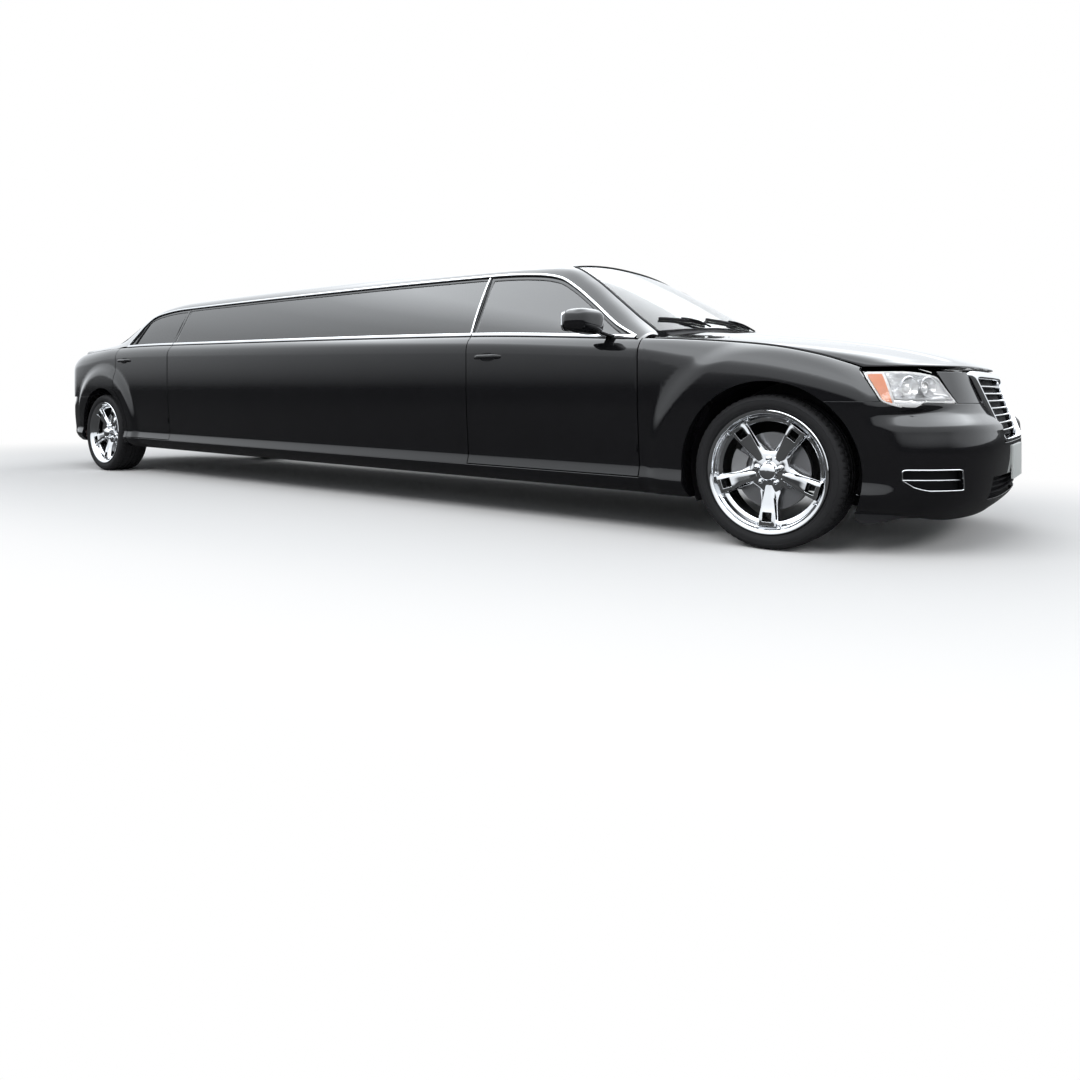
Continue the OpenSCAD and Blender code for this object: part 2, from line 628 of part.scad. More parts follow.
// Half the distance between the two screws of the rear plate
plate_hole_y = 89;
module eye(at, half) {
    translate(at) rotate([90, 0, 0]) cylinder(r = eye_r, h = 2 * half, center = true);
}
module pin_hole(at, half) {
    translate(at) rotate([90, 0, 0]) cylinder(r = pin_r + fit, h = 2 * half, center = true);
}
module hood_arm() {
    p = hood_pin;
    difference() {
        union() {
            eye(p, 6);
            box([p[0] - 6, p[1] - 6, 870], [p[0] + 6, p[1] + 6, p[2]]);
            box([xf - 600, p[1] - 6, 870], [p[0] + 6, p[1] + 6, 898]);
        }
        pin_hole(p, 8);
    }
}
module boot_arm() {
    p = boot_pin;
    difference() {
        union() {
            eye(p, 6);
            box([p[0] - 5, p[1] - 6, 1010], [p[0] + 7, p[1] + 6, p[2]]);
            box([p[0] - 5, p[1] - 6, 1010], [xr - 490, p[1] + 6, 1030]);
        }
        pin_hole(p, 8);
    }
}
module lid_pocket(at, reach) {
    difference() {
        union() {
            eye([at[0], at[1], at[2]], 6.5);
            translate([at[0], at[1] + 6.5, at[2]]) rotate([90, 0, 0]) linear_extrude(13) polygon(reach);
        }
        translate(at) rotate([90, 0, 0]) cylinder(r = pin_r, h = 20, center = true);
    }
    translate(at) rotate([90, 0, 0]) difference() {
        cylinder(r = eye_r + 0.5, h = 13, center = true);
        cylinder(r = pin_r, h = 14, center = true);
    }
}

module engine() {
    box([xf - 420, -270, 262], [xf + 330, 270, 640]);
    box([xf - 400, -170, 640], [xf + 310, 170, 790]);
    both() box([xf - 60, 260, 330], [xf + 60, 329.7, 380]);
    box([xf - 560, -110, 300], [xf - 410, 110, 470]);
    box([xf - 598, -60, 150], [xf - 410, 60, floor_top() - 30]);
    box([xf - 480, -60, floor_top() - 40], [xf - 415, 60, 310]);
}

module exhaust() {
    z = floor_top() - 24 - 30 - seat_gap;
    both() {
        rod([xf - 700, 240, z], [xr + 455, 240, z], 30);
        rod([xr + 455, 240, z], [xr + 230, 240, 405], 30);
        rod([xr + 230, 240, 405], [xr - 330, 240, 405], 30);
        rod([xr - 330, 240, 405], [xr - 520, 330, 320], 30);
        for (j = [[xr + 455, z], [xr + 230, 405], [xr - 330, 405]]) translate([j[0], 240, j[1]]) sphere(r = 30);
        box([xr - 900, 290, 268], [xr - 500, 470, 371.7]);
        rod([xr - 880, 420, 310], [xr - 1000, 440, 300], 32);
    }
}

module front_axle() {
    y1 = track / 2 - scrub;
    both() {
        difference() {
            union() {
                translate([xf, y1, hub_z - 112]) cylinder(r = king_r + 9, h = 18);
                translate([xf, y1, hub_z + 94]) cylinder(r = king_r + 9, h = 18);
                box([xf - 28, 300, hub_z - 112], [xf + 28, y1, hub_z - 94]);
                box([xf - 24, 430, hub_z + 94], [xf + 24, y1, hub_z + 112]);
            }
            translate([xf, y1, hub_z - 140]) cylinder(r = king_r + fit, h = 280);
        }
        box([xf - 60, 335, 212], [xf + 60, 400, 299.7]);
    }
    box([xf - 130, -400, 210], [xf + 130, 400, 246]);
}

module rear_axle() {
    both() {
        translate([xr, track / 2, hub_z]) rotate([-90, 0, 0]) {
            stub();
            caliper();
            rotate([0, 0, 180]) translate([20, -24, -80]) cube([130, 48, 40]);
        }
        rod([xr, 120, hub_z], [xr, track / 2 - 70, hub_z], 24);
        box([xr - 40, 100, hub_z - 110], [xr + 40, track / 2 - 45, hub_z - 86]);
        box([xr - 40, track / 2 - 80, hub_z - 100], [xr + 40, track / 2 - 45, hub_z + 20]);
    }
    box([xr - 150, -140, hub_z - 120], [xr + 150, 140, 443.7]);
    z = floor_top() - 24 - 28 - 6;
    rod([xr + 140, 0, hub_z - 40], [xr + 420, 0, z], 28);
    translate([xr + 420, 0, z]) sphere(r = 30);
    rod([xr + 420, 0, z], [xf - 600, 0, z], 28);
}

BUMPER_Z = [150, 178, 212, 270, 350, 440, 520, 570, 605, 640];
module front_bumper() {
    difference() {
        slab_bumper();
        grille_cut(470, 800);
        nose_slot(-430, 430, 232, 330);
        both() nose_slot(half_w - 284, half_w - 99, 286, 372);
    }
}
module slab_bumper() {
    us = [for (j = [0:22]) j / 11 - 1];
    grid = [for (m = [0, skin]) [for (z0 = BUMPER_Z) [for (u = us) let (
        w = ease((abs(u) - 0.42) / 0.5),
        z = mix(z0, lookup(z0, [[150, 184], [212, 214], [440, 440], [640, SEAM_Z]]), w),
        t = end_t(arch_x(z), front_overhang, nose_n)
    ) nose_at(u == 0 ? 0.01 : u * t, z, m)]]];
    slab(grid[0], grid[1]);
}
// Half width of the grille at a height
function grille_half(z) = half_w * mix(0.32293, 0.43272, (z - 470) / 330);
module grille_cut(z0, z1) {
    y0 = grille_half(z0);
    y1 = grille_half(z1);
    translate([xf + 500, 0, 0]) rotate([90, 0, 90]) linear_extrude(500)
        polygon([[-y0, z0], [y0, z0], [y1, z1], [-y1, z1]]);
}
module nose_slot(y0, y1, z0, z1) {
    box([xf + 420, y0, z0], [xf + 1000, y1, z1]);
}
module rear_bumper() {
    us = [for (j = [0:20]) j / 10 - 1];
    grid = [for (m = [0, skin]) [for (z0 = [232, 258, 300, 360, 450, 540, 600, 632, 650, 660]) [for (u = us) let (
        w = ease((abs(u) - 0.5) / 0.45),
        z = mix(z0, lookup(z0, [[232, 256], [300, 305], [660, TAIL_SEAM]]), w),
        t = end_t(arch_x(z), rear_overhang, tail_n)
    ) tail_at(u == 0 ? 0.01 : u * t, z, m)]]];
    slab(grid[0], grid[1]);
}

module grille() {
    bot = 470 + seat_gap;
    grille_top = 784;
    function loop(e, deep) = concat(
        [for (j = [0:8]) gpt(j / 4 - 1, bot + e, e, deep)],
        [for (i = [1:5]) gpt(1, mix(bot + e, grille_top - e, i / 6), e, deep)],
        [for (j = [8:-1:0]) gpt(j / 4 - 1, grille_top - e, e, deep)],
        [for (i = [5:-1:1]) gpt(-1, mix(bot + e, grille_top - e, i / 6), e, deep)]
    );
    ring([loop(0.4, 10), loop(8, -10), loop(34, -10), loop(40, 6), loop(40, 40), loop(0.4, 40)]);
    for (i = [1:7]) grille_bar(mix(bot + 36, grille_top - 36, i / 8));
}
function gpt(u, z, e, deep) = let (h = grille_half(z) - e) nose_face(u * h, z, max(deep, 1 - along(NOSE, z)));
module grille_bar(z) {
    us = [for (j = [0:8]) j / 4 - 1];
    slab(
        [for (d = [-7, 7]) [for (u = us) gpt(u, z + d, 39, 4)]],
        [for (d = [-7, 7]) [for (u = us) gpt(u, z + d, 39, 34)]]
    );
}

// Body panel between grille and lamp
module nose_panel() {
    us = [for (j = [0:4]) j / 4];
    function grid(m) = [for (z = [SEAM_Z - 9, 680, 725, 774]) [for (u = us) let (
        t0 = face_t(grille_half(z) + 12 + 0.27 * (along(NOSE, z) + skin), nose_n),
        t1 = end_t(lookup(z, LAMP_IN) + 4, front_overhang, nose_n)
    ) nose_at(mix(t0, t1, u), z, m)]];
    slab(grid(0), grid(skin));
}
// Inner end of the lamp: height, distance ahead of the axle
LAMP_IN = [[640, 760], [777, 712]];
module headlamp() {
    function lamp_z(f, t) = mix(mix(640, SEAM_Z, ease((t - 32) / 40)) + 0.6, 774, f);
    function grid(m, drop) = [for (f0 = [0, 0.3, 0.65, 1]) let (f = f0 * drop) [for (j = [0:8]) let (
        u = j / 8,
        t0 = end_t(mix(LAMP_IN[0][1], LAMP_IN[1][1], f), front_overhang, nose_n),
        t = mix(t0, lamp_t(mix(SEAM_Z, 774, f)), u),
        q = nose_at(t, lamp_z(f, t)),
        e = round_end(t, front_overhang, nose_n)
    ) q - m * [mix(e[2], 0, u), mix(e[3], 1, u), 0]]];
    slab(grid(0, 1), grid(90, 0.74));
}
module tail_lamp() {
    function grid(m, drop) = [for (f = [0, 0.33, 0.66, 1]) [for (j = [0:8]) let (
        u = j / 8,
        t = mix(face_t(half_w - 259, tail_n), TAIL_T, u),
        q = tail_at(t, mix(TAIL_SEAM + seat_gap, 968, f * drop)),
        e = round_end(t, rear_overhang, tail_n)
    ) q - m * [mix(-e[2], 0, u), mix(e[3], 1, u), 0]]];
    slab(grid(0, 1), grid(45, 0.9));
}

// Rear edge of the hood at a given y
function hood_rear(y) = xf - 404 - 196 * pow(abs(y) / (half_w - wall), 2.6);
module cowl() {
    us = [for (j = [0:12]) j / 6 - 1];
    y = half_w - 229;
    rear = [for (u = us) let (w = pow(abs(u * y / RAIL[1][3]), 2.3)) [mix(xf - 468, xf - 623, w), u * y, mix(1032, 990, w)]];
    front = [for (u = us) let (w = pow(abs(u * 0.85), 2.3)) [hood_rear(u * y) - 10, u * y, mix(1004, 950, w)]];
    slab([front, rear], [[for (q = front) [q[0], q[1], 900 + seat_gap]], [for (q = rear) [q[0], q[1], 900 + seat_gap]]]);
}

SCREEN = [for (i = [0:8]) let (v = i / 8) [mix(xf - 470, xf - 1222, v), mix(1036, 1441 + rise, v)]];
REAR_SCREEN = [for (i = [0:10]) let (v = i / 10) [mix(xr + 480, xr - 430, v), mix(1456 + rise, 1122, v)]];

ROOF_MID = [for (i = [0:12]) let (x = rail_col(mix(5, 11, i / 12), 2)) [x, along(CROWN, x)]];
DECK_MID = [for (x = [xr - 431, xr - 468, xr - 505]) [x, along(DECK, x)]];
module dashboard() {
    y = half_w - 209;
    box([xf - 980, -y, 640], [xf - 620 - seat_gap, y, 900]);
    box([xf - 900, 20 - y, 890], [xf - 700, y - 20, 930]);
    box([xf - 1100, -130, floor_top() + seat_gap], [xf - 760, 130, 650]);
}
module steering_wheel() {
    tilt = 65;
    c = [xf - 1080, 370, 860];
    translate(c) rotate([0, -tilt, 0]) {
        rotate_extrude() translate([180, 0]) circle(r = 15, $fn = 24);
        cylinder(r = 60, h = 40, center = true);
        for (a = [30, 150, 270]) rotate(a) translate([0, -16, -8]) cube([180, 32, 16]);
        translate([0, 0, -(100 - 9) / sin(tilt)]) cylinder(r = 20, h = 90);
    }
}
module seat(x, y, w, z) {
    box([x - 520, y - w / 2, z], [x, y + w / 2, z + 160]);
    translate([x - 500, y - w / 2, z + 120]) rotate([0, -14, 0]) cube([130, w, 620]);
}
module chairs() {
    for (y = [-370, 370]) seat(xf - 1240, y, 500, floor_top() + 60);
    for (y = [-370, 370]) box([xf - 1700, y - 180, floor_top()], [xf - 1300, y + 180, floor_top() + 60]);
}
function floor_top() = sill((xf + xr) / 2) + 36;
module lounge() {
    z = floor_top();
    y = half_w - 229;
    box([xr + 540, -y, z], [xr + 1060, y, z + 240]);
    box([xr + 500, -y, z], [xr + 540, y, z + 820]);
    box([xr + 1060, 300, z], [xf - 2300, y + 60, z + 240]);
    box([xr + 1060, y, z + 240], [xf - 2300, y + 90, z + 700]);
}
module partition_wall() {
    y = half_w - 149;
    box([xf - 2060, -y, floor_top()], [xf - 2020, y, 1000]);
    box([xf - 2060, 180 - y, 1000], [xf - 2020, y - 180, 1360]);
}

module mirror_pod() {
    z = 1035;
    x = xf - 880;
    y = half_w - 10;
    low = shoulder(xf - 810);
    difference() {
        union() {
            translate([x, y + 110, z]) box([-60, -100, -60], [60, 100, 66]);
            box([xf - 835, glass_y(xf - 835, low + 2) - 3.7, low + 2], [xf - 785, y + 60, low + 13]);
            box([xf - 850, y + 20, low + 2], [xf - 800, y + 60, z - 40]);
        }
        box([x - 62, y + 24, z - 54], [x - 52, y + 196, z + 50]);
    }
}

color(DARK) chassis();
color(STEEL) engine();
color(STEEL) exhaust();
color(STEEL) front_axle();
color(STEEL) rear_axle();
color(PAINT) front_bumper();
color(PAINT) rear_bumper();
color(PAINT) both() nose_panel();  // nose_panels
color(CHROME) grille();
color(CHROME) both() headlamp();  // headlamps
color([0.5, 0.05, 0.05]) both() tail_lamp();  // tail_lamps
color(PAINT) both() fender();  // fenders
color(PAINT) both() side_panel();  // side_panels
color(STEEL) both() hinge_arms();  // door_hinges
color(PAINT) both() sill_panel();  // sills
color(PAINT) both() quarter();  // quarter_panels
color(PAINT) both() rail();  // roof_rails
color(PAINT) over(5, 11, 12, 8, ROOF_MID, 40);  // roof
color(DARK) cowl();
color(PAINT) over(16, 17, 2, 10, DECK_MID, skin);  // rear_deck
color(GLASS) over(1, 5, 8, 10, SCREEN, glass_t, 14);  // windscreen
color(GLASS) over(11, 16, 10, 10, REAR_SCREEN, glass_t, 40);  // rear_window
color(GLASS) both() side_pane();  // side_windows
color(DARK) dashboard();
color(DARK) steering_wheel();
color(LEATHER) chairs();  // front_seats
color(LEATHER) lounge();  // lounge_seats
color(DARK) partition_wall();  // partition
color(PAINT) hood();
color(PAINT) boot_lid();
color(PAINT) on_side(1) front_door();  // door_front_left
color(PAINT) on_side(-1) front_door();  // door_front_right
color(PAINT) on_side(1) rear_door();  // door_rear_left
color(PAINT) on_side(-1) rear_door();  // door_rear_right
color(GLASS) on_side(1) front_pane();  // glass_front_left
color(GLASS) on_side(-1) front_pane();  // glass_front_right
color(GLASS) on_side(1) rear_pane();  // glass_rear_left
color(GLASS) on_side(-1) rear_pane();  // glass_rear_right
color(PAINT) on_side(1) mirror_pod();  // mirror_left
color(PAINT) on_side(-1) mirror_pod();  // mirror_right
color(STEEL) on_side(1) knuckle();  // knuckle_left
color(STEEL) on_side(-1) knuckle();  // knuckle_right
color(CHROME) wheel_place(xf, 1) rim();  // rim_front_left
color(CHROME) wheel_place(xf, -1) rim();  // rim_front_right
color(CHROME) wheel_place(xr, 1) rim();  // rim_rear_left
color(CHROME) wheel_place(xr, -1) rim();  // rim_rear_right
color(DARK) wheel_place(xf, 1) tyre();  // tyre_front_left
color(DARK) wheel_place(xf, -1) tyre();  // tyre_front_right
color(DARK) wheel_place(xr, 1) tyre();  // tyre_rear_left
color(DARK) wheel_place(xr, -1) tyre();  // tyre_rear_right
color(STEEL) wheel_place(xf, 1) disc();  // disc_front_left
color(STEEL) wheel_place(xf, -1) disc();  // disc_front_right
color(STEEL) wheel_place(xr, 1) disc();  // disc_rear_left
color(STEEL) wheel_place(xr, -1) disc();  // disc_rear_right
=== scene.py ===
"""Looks of a stretch limousine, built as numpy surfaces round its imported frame.

Lengths are millimetres until a mesh is made, X forward, Y to the car's left, Z up.
"""

import logging
import math
from dataclasses import dataclass, field
from enum import Enum

import bmesh
import bpy
import numpy as np
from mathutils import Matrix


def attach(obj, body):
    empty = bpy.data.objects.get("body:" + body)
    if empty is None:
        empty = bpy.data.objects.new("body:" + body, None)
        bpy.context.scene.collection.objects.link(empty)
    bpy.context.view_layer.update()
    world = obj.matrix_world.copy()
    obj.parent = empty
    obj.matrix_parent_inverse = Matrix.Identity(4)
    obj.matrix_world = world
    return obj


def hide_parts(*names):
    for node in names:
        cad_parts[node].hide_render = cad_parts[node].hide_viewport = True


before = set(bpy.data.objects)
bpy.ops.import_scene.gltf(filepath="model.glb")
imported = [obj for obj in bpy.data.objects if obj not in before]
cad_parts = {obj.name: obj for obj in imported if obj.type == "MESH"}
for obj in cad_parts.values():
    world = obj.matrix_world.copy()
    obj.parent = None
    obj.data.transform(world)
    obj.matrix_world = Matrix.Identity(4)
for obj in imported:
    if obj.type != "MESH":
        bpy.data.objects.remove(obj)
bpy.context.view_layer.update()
LOG = logging.getLogger("limousine")
Array = np.ndarray
MM = 0.001
MERGE = 2e-6
CUT = 0.01
SIDES = (("left", 1), ("right", -1))
BRIGHT_UP = (0, 0.9, 0.43)


# Shader maths
class Sock:
    """A node socket with arithmetic: an expression adds Math nodes."""

    def __init__(self, tree: bpy.types.NodeTree, out: bpy.types.NodeSocket) -> None:
        """Keeps the tree and the output socket."""
        self.tree, self.out = tree, out

    def _math(self, op: str, a: object, b: object) -> "Sock":
        """Adds one Math node.

        Args:
            op: the operation's name.
            a: first value or socket.
            b: second value or socket.

        Returns:
            The node's result.
        """
        n = self.tree.nodes.new("ShaderNodeMath")
        n.operation = op
        for i, v in enumerate((a, b)):
            if isinstance(v, Sock):
                self.tree.links.new(v.out, n.inputs[i])
            else:
                n.inputs[i].default_value = float(v)
        return Sock(self.tree, n.outputs[0])

    def __add__(self, o: object) -> "Sock":
        """Sum."""
        return self._math("ADD", self, o)

    def __sub__(self, o: object) -> "Sock":
        """Difference."""
        return self._math("SUBTRACT", self, o)

    def __rsub__(self, o: object) -> "Sock":
        """Difference from a number."""
        return self._math("SUBTRACT", o, self)

    def __mul__(self, o: object) -> "Sock":
        """Product."""
        return self._math("MULTIPLY", self, o)

    def __pow__(self, o: object) -> "Sock":
        """Power."""
        return self._math("POWER", self, o)

    def most(self, o: object) -> "Sock":
        """The greater of two values."""
        return self._math("MAXIMUM", self, o)

    __radd__, __rmul__ = __add__, __mul__


class Shader:
    """A material's or world's node tree."""

    def __init__(self, tree: bpy.types.NodeTree) -> None:
        """Clears the tree."""
        self.tree = tree
        tree.nodes.clear()

    def node(self, kind: str, settings: dict | None = None, inputs: dict | None = None) -> bpy.types.Node:
        """Adds one node.

        Args:
            kind: the node's type without its ShaderNode prefix.
            settings: attributes set first; stops gives a ramp's stops.
            inputs: values or sockets by input name or place.

        Returns:
            The new node.
        """
        n = self.tree.nodes.new("ShaderNode" + kind)
        for key, value in (settings or {}).items():
            if key == "stops":
                ramp = n.color_ramp.elements
                for i, (at, shade) in enumerate(value):
                    e = ramp[i] if i < 2 else ramp.new(at)
                    e.position, e.color = at, (*shade, 1.0) if len(shade) == 3 else shade
            else:
                setattr(n, key, value)
        for key, value in (inputs or {}).items():
            if isinstance(value, Sock):
                self.tree.links.new(value.out, n.inputs[key])
            elif isinstance(value, bpy.types.NodeSocket):
                self.tree.links.new(value, n.inputs[key])
            else:
                n.inputs[key].default_value = value
        return n

    def get(self, kind: str, out: str | int = 0, settings: dict | None = None, inputs: dict | None = None) -> Sock:
        """Adds a node and gives one of its outputs.

        Args:
            kind: the node's type.
            out: output name or place.
            settings: as for node.
            inputs: as for node.

        Returns:
            The output, wrapped.
        """
        return Sock(self.tree, self.node(kind, settings, inputs).outputs[out])

    def noise(self, scale: float, detail: float = 2.0, stretch: tuple[float, float, float] = (1, 1, 1)) -> Sock:
        """Noise on the object's own coordinates.

        Args:
            scale: waves in a metre.
            detail: finer layers.
            stretch: scale of each axis.

        Returns:
            The noise value.
        """
        at = self.get("Mapping", "Vector", None, {"Vector": self.get("TexCoord", "Object"), "Scale": stretch})
        return self.get("TexNoise", 0, None, {"Vector": at, "Scale": scale, "Detail": detail})

    def mix(self, factor: object, a: object, b: object) -> Sock:
        """Mixes two colours.

        Args:
            factor: share of b.
            a: first colour.
            b: second colour.

        Returns:
            The mixed colour.
        """
        n = self.node("Mix", {"data_type": "RGBA"})
        for place, v in ((0, factor), (6, a), (7, b)):
            if isinstance(v, Sock):
                self.tree.links.new(v.out, n.inputs[place])
            else:
                n.inputs[place].default_value = (*v, 1.0) if isinstance(v, tuple) else v
        return Sock(self.tree, n.outputs[2])

    def rays(self) -> tuple[Sock, Sock]:
        """Two tests of a ray.

        Returns:
            Whether it shows the backdrop, straight or through glass, and whether it is a reflection.
        """
        ray = self.node("LightPath")
        kinds = ("Camera", "Transmission", "Glossy")
        camera, through, gloss = (Sock(self.tree, ray.outputs[f"Is {k} Ray"]) for k in kinds)
        return camera.most(through), gloss


class Grain(Enum):
    """Kinds of fine surface relief."""

    PEEL = "peel"
    CAST = "cast"
    HIDE = "hide"
    BRUSHED = "brushed"
    RIBS = "ribs"


@dataclass(frozen=True)
class Finish:
    """One surface finish: a Principled shader with fine variation over the surface."""

    name: str
    slot: str
    base: tuple[float, float, float]
    other: tuple[float, float, float]
    rough: float
    spread: float = 0.05
    metal: float = 0.0
    coat: float = 0.0
    clear: float = 0.0
    grain: Grain = Grain.CAST
    waves: float = 60.0
    relief: float = 0.05
    spec: float = 0.5
    ior: float = 1.48

    def material(self) -> bpy.types.Material:
        """Makes the material once, and finds it again after that.

        Returns:
            The material: base colour and roughness vary with noise, relief feeds a Bump node.
        """
        found = bpy.data.materials.get("finish_" + self.name)
        if found:
            return found
        m = bpy.data.materials.new("finish_" + self.name)
        m.use_nodes = True
        s = Shader(m.node_tree)
        broad = s.noise(self.waves * 0.08, 3.0)
        fine = self._height(s)
        bump = s.get("Bump", 0, None, {"Height": fine, "Strength": self.relief, "Distance": 0.002})
        p = s.node("BsdfPrincipled", None, {
            "Base Color": s.mix(broad, self.base, self.other),
            "Roughness": (broad - 0.5) * (2 * self.spread) + self.rough,
            "Metallic": self.metal, "Coat Weight": self.coat, "Coat Roughness": 0.02,
            "Transmission Weight": self.clear, "IOR": self.ior, "Specular IOR Level": self.spec, "Normal": bump})
        s.node("OutputMaterial", None, {"Surface": p.outputs[0]})
        m.diffuse_color = (*self.base, 1.0)
        return m

    def _height(self, s: Shader) -> Sock:
        """The relief's height for the finish's grain.

        Args:
            s: the material's tree.

        Returns:
            The height.
        """
        if self.grain is Grain.HIDE:
            at = s.get("TexCoord", "Object")
            cells = s.get("TexVoronoi", 0, {"feature": "DISTANCE_TO_EDGE"}, {"Vector": at, "Scale": self.waves * 6})
            return cells ** 0.5
        if self.grain is Grain.BRUSHED:
            return s.noise(self.waves, 4.0, (1, 30, 30))
        if self.grain is Grain.RIBS:
            return s.noise(self.waves, 0.0, (0.02, 1, 0.02))
        if self.grain is Grain.PEEL:
            return s.noise(self.waves * 4, 1.0)
        return s.noise(self.waves * 10, 5.0)


PAINT = Finish("gloss_black", "paint", (0.0045, 0.0045, 0.0052), (0.0065, 0.0065, 0.0075), 0.10, 0.03, coat=1.0,
               grain=Grain.PEEL, relief=0.012, spec=0.15)
CHROME = Finish("bright_chrome", "chrome", (0.80, 0.81, 0.83), (0.86, 0.87, 0.88), 0.05, 0.02, metal=1.0,
                grain=Grain.PEEL, relief=0.01)
SATIN = Finish("satin_steel", "frame", (0.33, 0.33, 0.34), (0.42, 0.42, 0.43), 0.32, 0.10, metal=1.0,
               grain=Grain.BRUSHED, relief=0.08)
DULL = Finish("dull_underbody", "frame", (0.030, 0.030, 0.032), (0.060, 0.058, 0.055), 0.62, 0.12, metal=0.2,
              relief=0.25)
CAST_ALLOY = Finish("cast_alloy", "frame", (0.30, 0.30, 0.31), (0.42, 0.42, 0.42), 0.48, 0.10, metal=0.8, relief=0.25)
IRON = Finish("machined_iron", "disc", (0.26, 0.26, 0.27), (0.40, 0.40, 0.41), 0.30, 0.08, metal=0.9,
              grain=Grain.BRUSHED, relief=0.10)
RUBBER = Finish("tyre_rubber", "tyre", (0.012, 0.012, 0.013), (0.022, 0.022, 0.023), 0.60, 0.10, relief=0.25,
                spec=0.15)
TRIM = Finish("grained_plastic", "trim", (0.012, 0.012, 0.013), (0.020, 0.020, 0.022), 0.55, 0.10, relief=0.20,
              spec=0.2)
VOID = Finish("dark_mesh", "trim", (0.006, 0.006, 0.007), (0.010, 0.010, 0.011), 0.70, 0.10, relief=0.20, spec=0.1)
TINT = Finish("dark_glass", "dark_glass", (0.012, 0.013, 0.015), (0.018, 0.019, 0.021), 0.015, 0.005, clear=1.0,
              grain=Grain.PEEL, relief=0.0, ior=1.85)
CLEAR = Finish("clear_glass", "clear_glass", (0.86, 0.90, 0.89), (0.90, 0.93, 0.92), 0.012, 0.004, clear=1.0,
               grain=Grain.PEEL, relief=0.0)
LENS = Finish("lamp_lens", "headlamp", (0.97, 0.98, 0.98), (0.99, 0.99, 0.99), 0.01, 0.004, clear=1.0,
              grain=Grain.PEEL, relief=0.0)
BOWL = Finish("lamp_bowl", "headlamp", (0.66, 0.67, 0.69), (0.78, 0.79, 0.81), 0.22, 0.06, metal=0.7,
              grain=Grain.RIBS, waves=120, relief=0.35)
LAMP_EDGE = Finish("lamp_edge", "headlamp", (0.86, 0.87, 0.88), (0.92, 0.93, 0.94), 0.30, 0.05, grain=Grain.PEEL,
                   relief=0.02)
AMBER = Finish("amber_lens", "headlamp", (0.75, 0.20, 0.03), (0.85, 0.26, 0.05), 0.14, 0.04, coat=1.0,
               grain=Grain.RIBS, waves=140, relief=0.5)
RED = Finish("red_lens", "tail_lamp", (0.30, 0.006, 0.006), (0.42, 0.010, 0.010), 0.10, 0.03, coat=1.0,
             grain=Grain.RIBS, waves=140, relief=0.4)
HIDE = Finish("soft_leather", "leather", (0.030, 0.027, 0.025), (0.045, 0.041, 0.038), 0.42, 0.08,
              grain=Grain.HIDE, relief=0.25, spec=0.3)
PLATE = Finish("bare_plate", "trim", (0.52, 0.55, 0.54), (0.60, 0.62, 0.61), 0.35, 0.05, grain=Grain.PEEL,
               relief=0.05)


# Meshes
@dataclass
class Patch:
    """Points in millimetres and faces of four corners."""

    verts: Array
    faces: Array

    def mirrored(self) -> "Patch":
        """The same patch on the car's other side."""
        return Patch(self.verts * [1, -1, 1], self.faces[:, ::-1])

    def on(self, side: int) -> "Patch":
        """The patch on the left for 1, on the right for -1."""
        return self if side > 0 else self.mirrored()

    def outward(self) -> "Patch":
        """The closed patch with its faces turned outwards, by the sign of its volume.

        Returns:
            The patch, or one with its faces reversed.
        """
        a, b, c, d = (self.verts[self.faces[:, i]] for i in range(4))
        volume = np.einsum("ij,ij->", np.cross(a, b), c) + np.einsum("ij,ij->", np.cross(a, c), d)
        return self if volume >= 0 else Patch(self.verts, self.faces[:, ::-1])


def join(*patches: Patch) -> Patch:
    """Puts patches together as loose parts of one mesh."""
    starts = np.cumsum([0] + [len(p.verts) for p in patches[:-1]])
    return Patch(np.vstack([p.verts for p in patches]), np.vstack([p.faces + s for p, s in zip(patches, starts)]))


def both(patch: Patch) -> Patch:
    """The patch and its mirror image."""
    return join(patch, patch.mirrored())


def shell(outer: Array, inner: Array, keep: Array | None = None) -> Patch:
    """Closed wall between two matching grids of points.

    Args:
        outer: rows by columns by 3.
        inner: the same shape, on the other side of the wall.
        keep: which cells are there; the others are openings with walls round them.

    Returns:
        The wall, turned outwards.
    """
    r, c = outer.shape[:2]
    keep = np.ones((r - 1, c - 1), bool) if keep is None else keep
    ids, n = np.arange(r * c).reshape(r, c), r * c
    quad = np.stack([ids[:-1, :-1], ids[:-1, 1:], ids[1:, 1:], ids[1:, :-1]], -1)[keep]
    faces, pad = [quad, quad[:, ::-1] + n], np.pad(keep, 1)
    left, right, up, down = pad[1:-1, :-1], pad[1:-1, 1:], pad[:-1, 1:-1], pad[1:, 1:-1]
    for on, p, q in ((right & ~left, ids[:-1], ids[1:]), (left & ~right, ids[1:], ids[:-1]),
                     (down & ~up, ids[:, 1:], ids[:, :-1]), (up & ~down, ids[:, :-1], ids[:, 1:])):
        faces.append(np.stack([p[on], q[on], q[on] + n, p[on] + n], -1))
    faces = np.vstack(faces)
    used, back = np.unique(faces, return_inverse=True)
    return Patch(np.vstack([outer.reshape(-1, 3), inner.reshape(-1, 3)])[used], back.reshape(-1, 4)).outward()


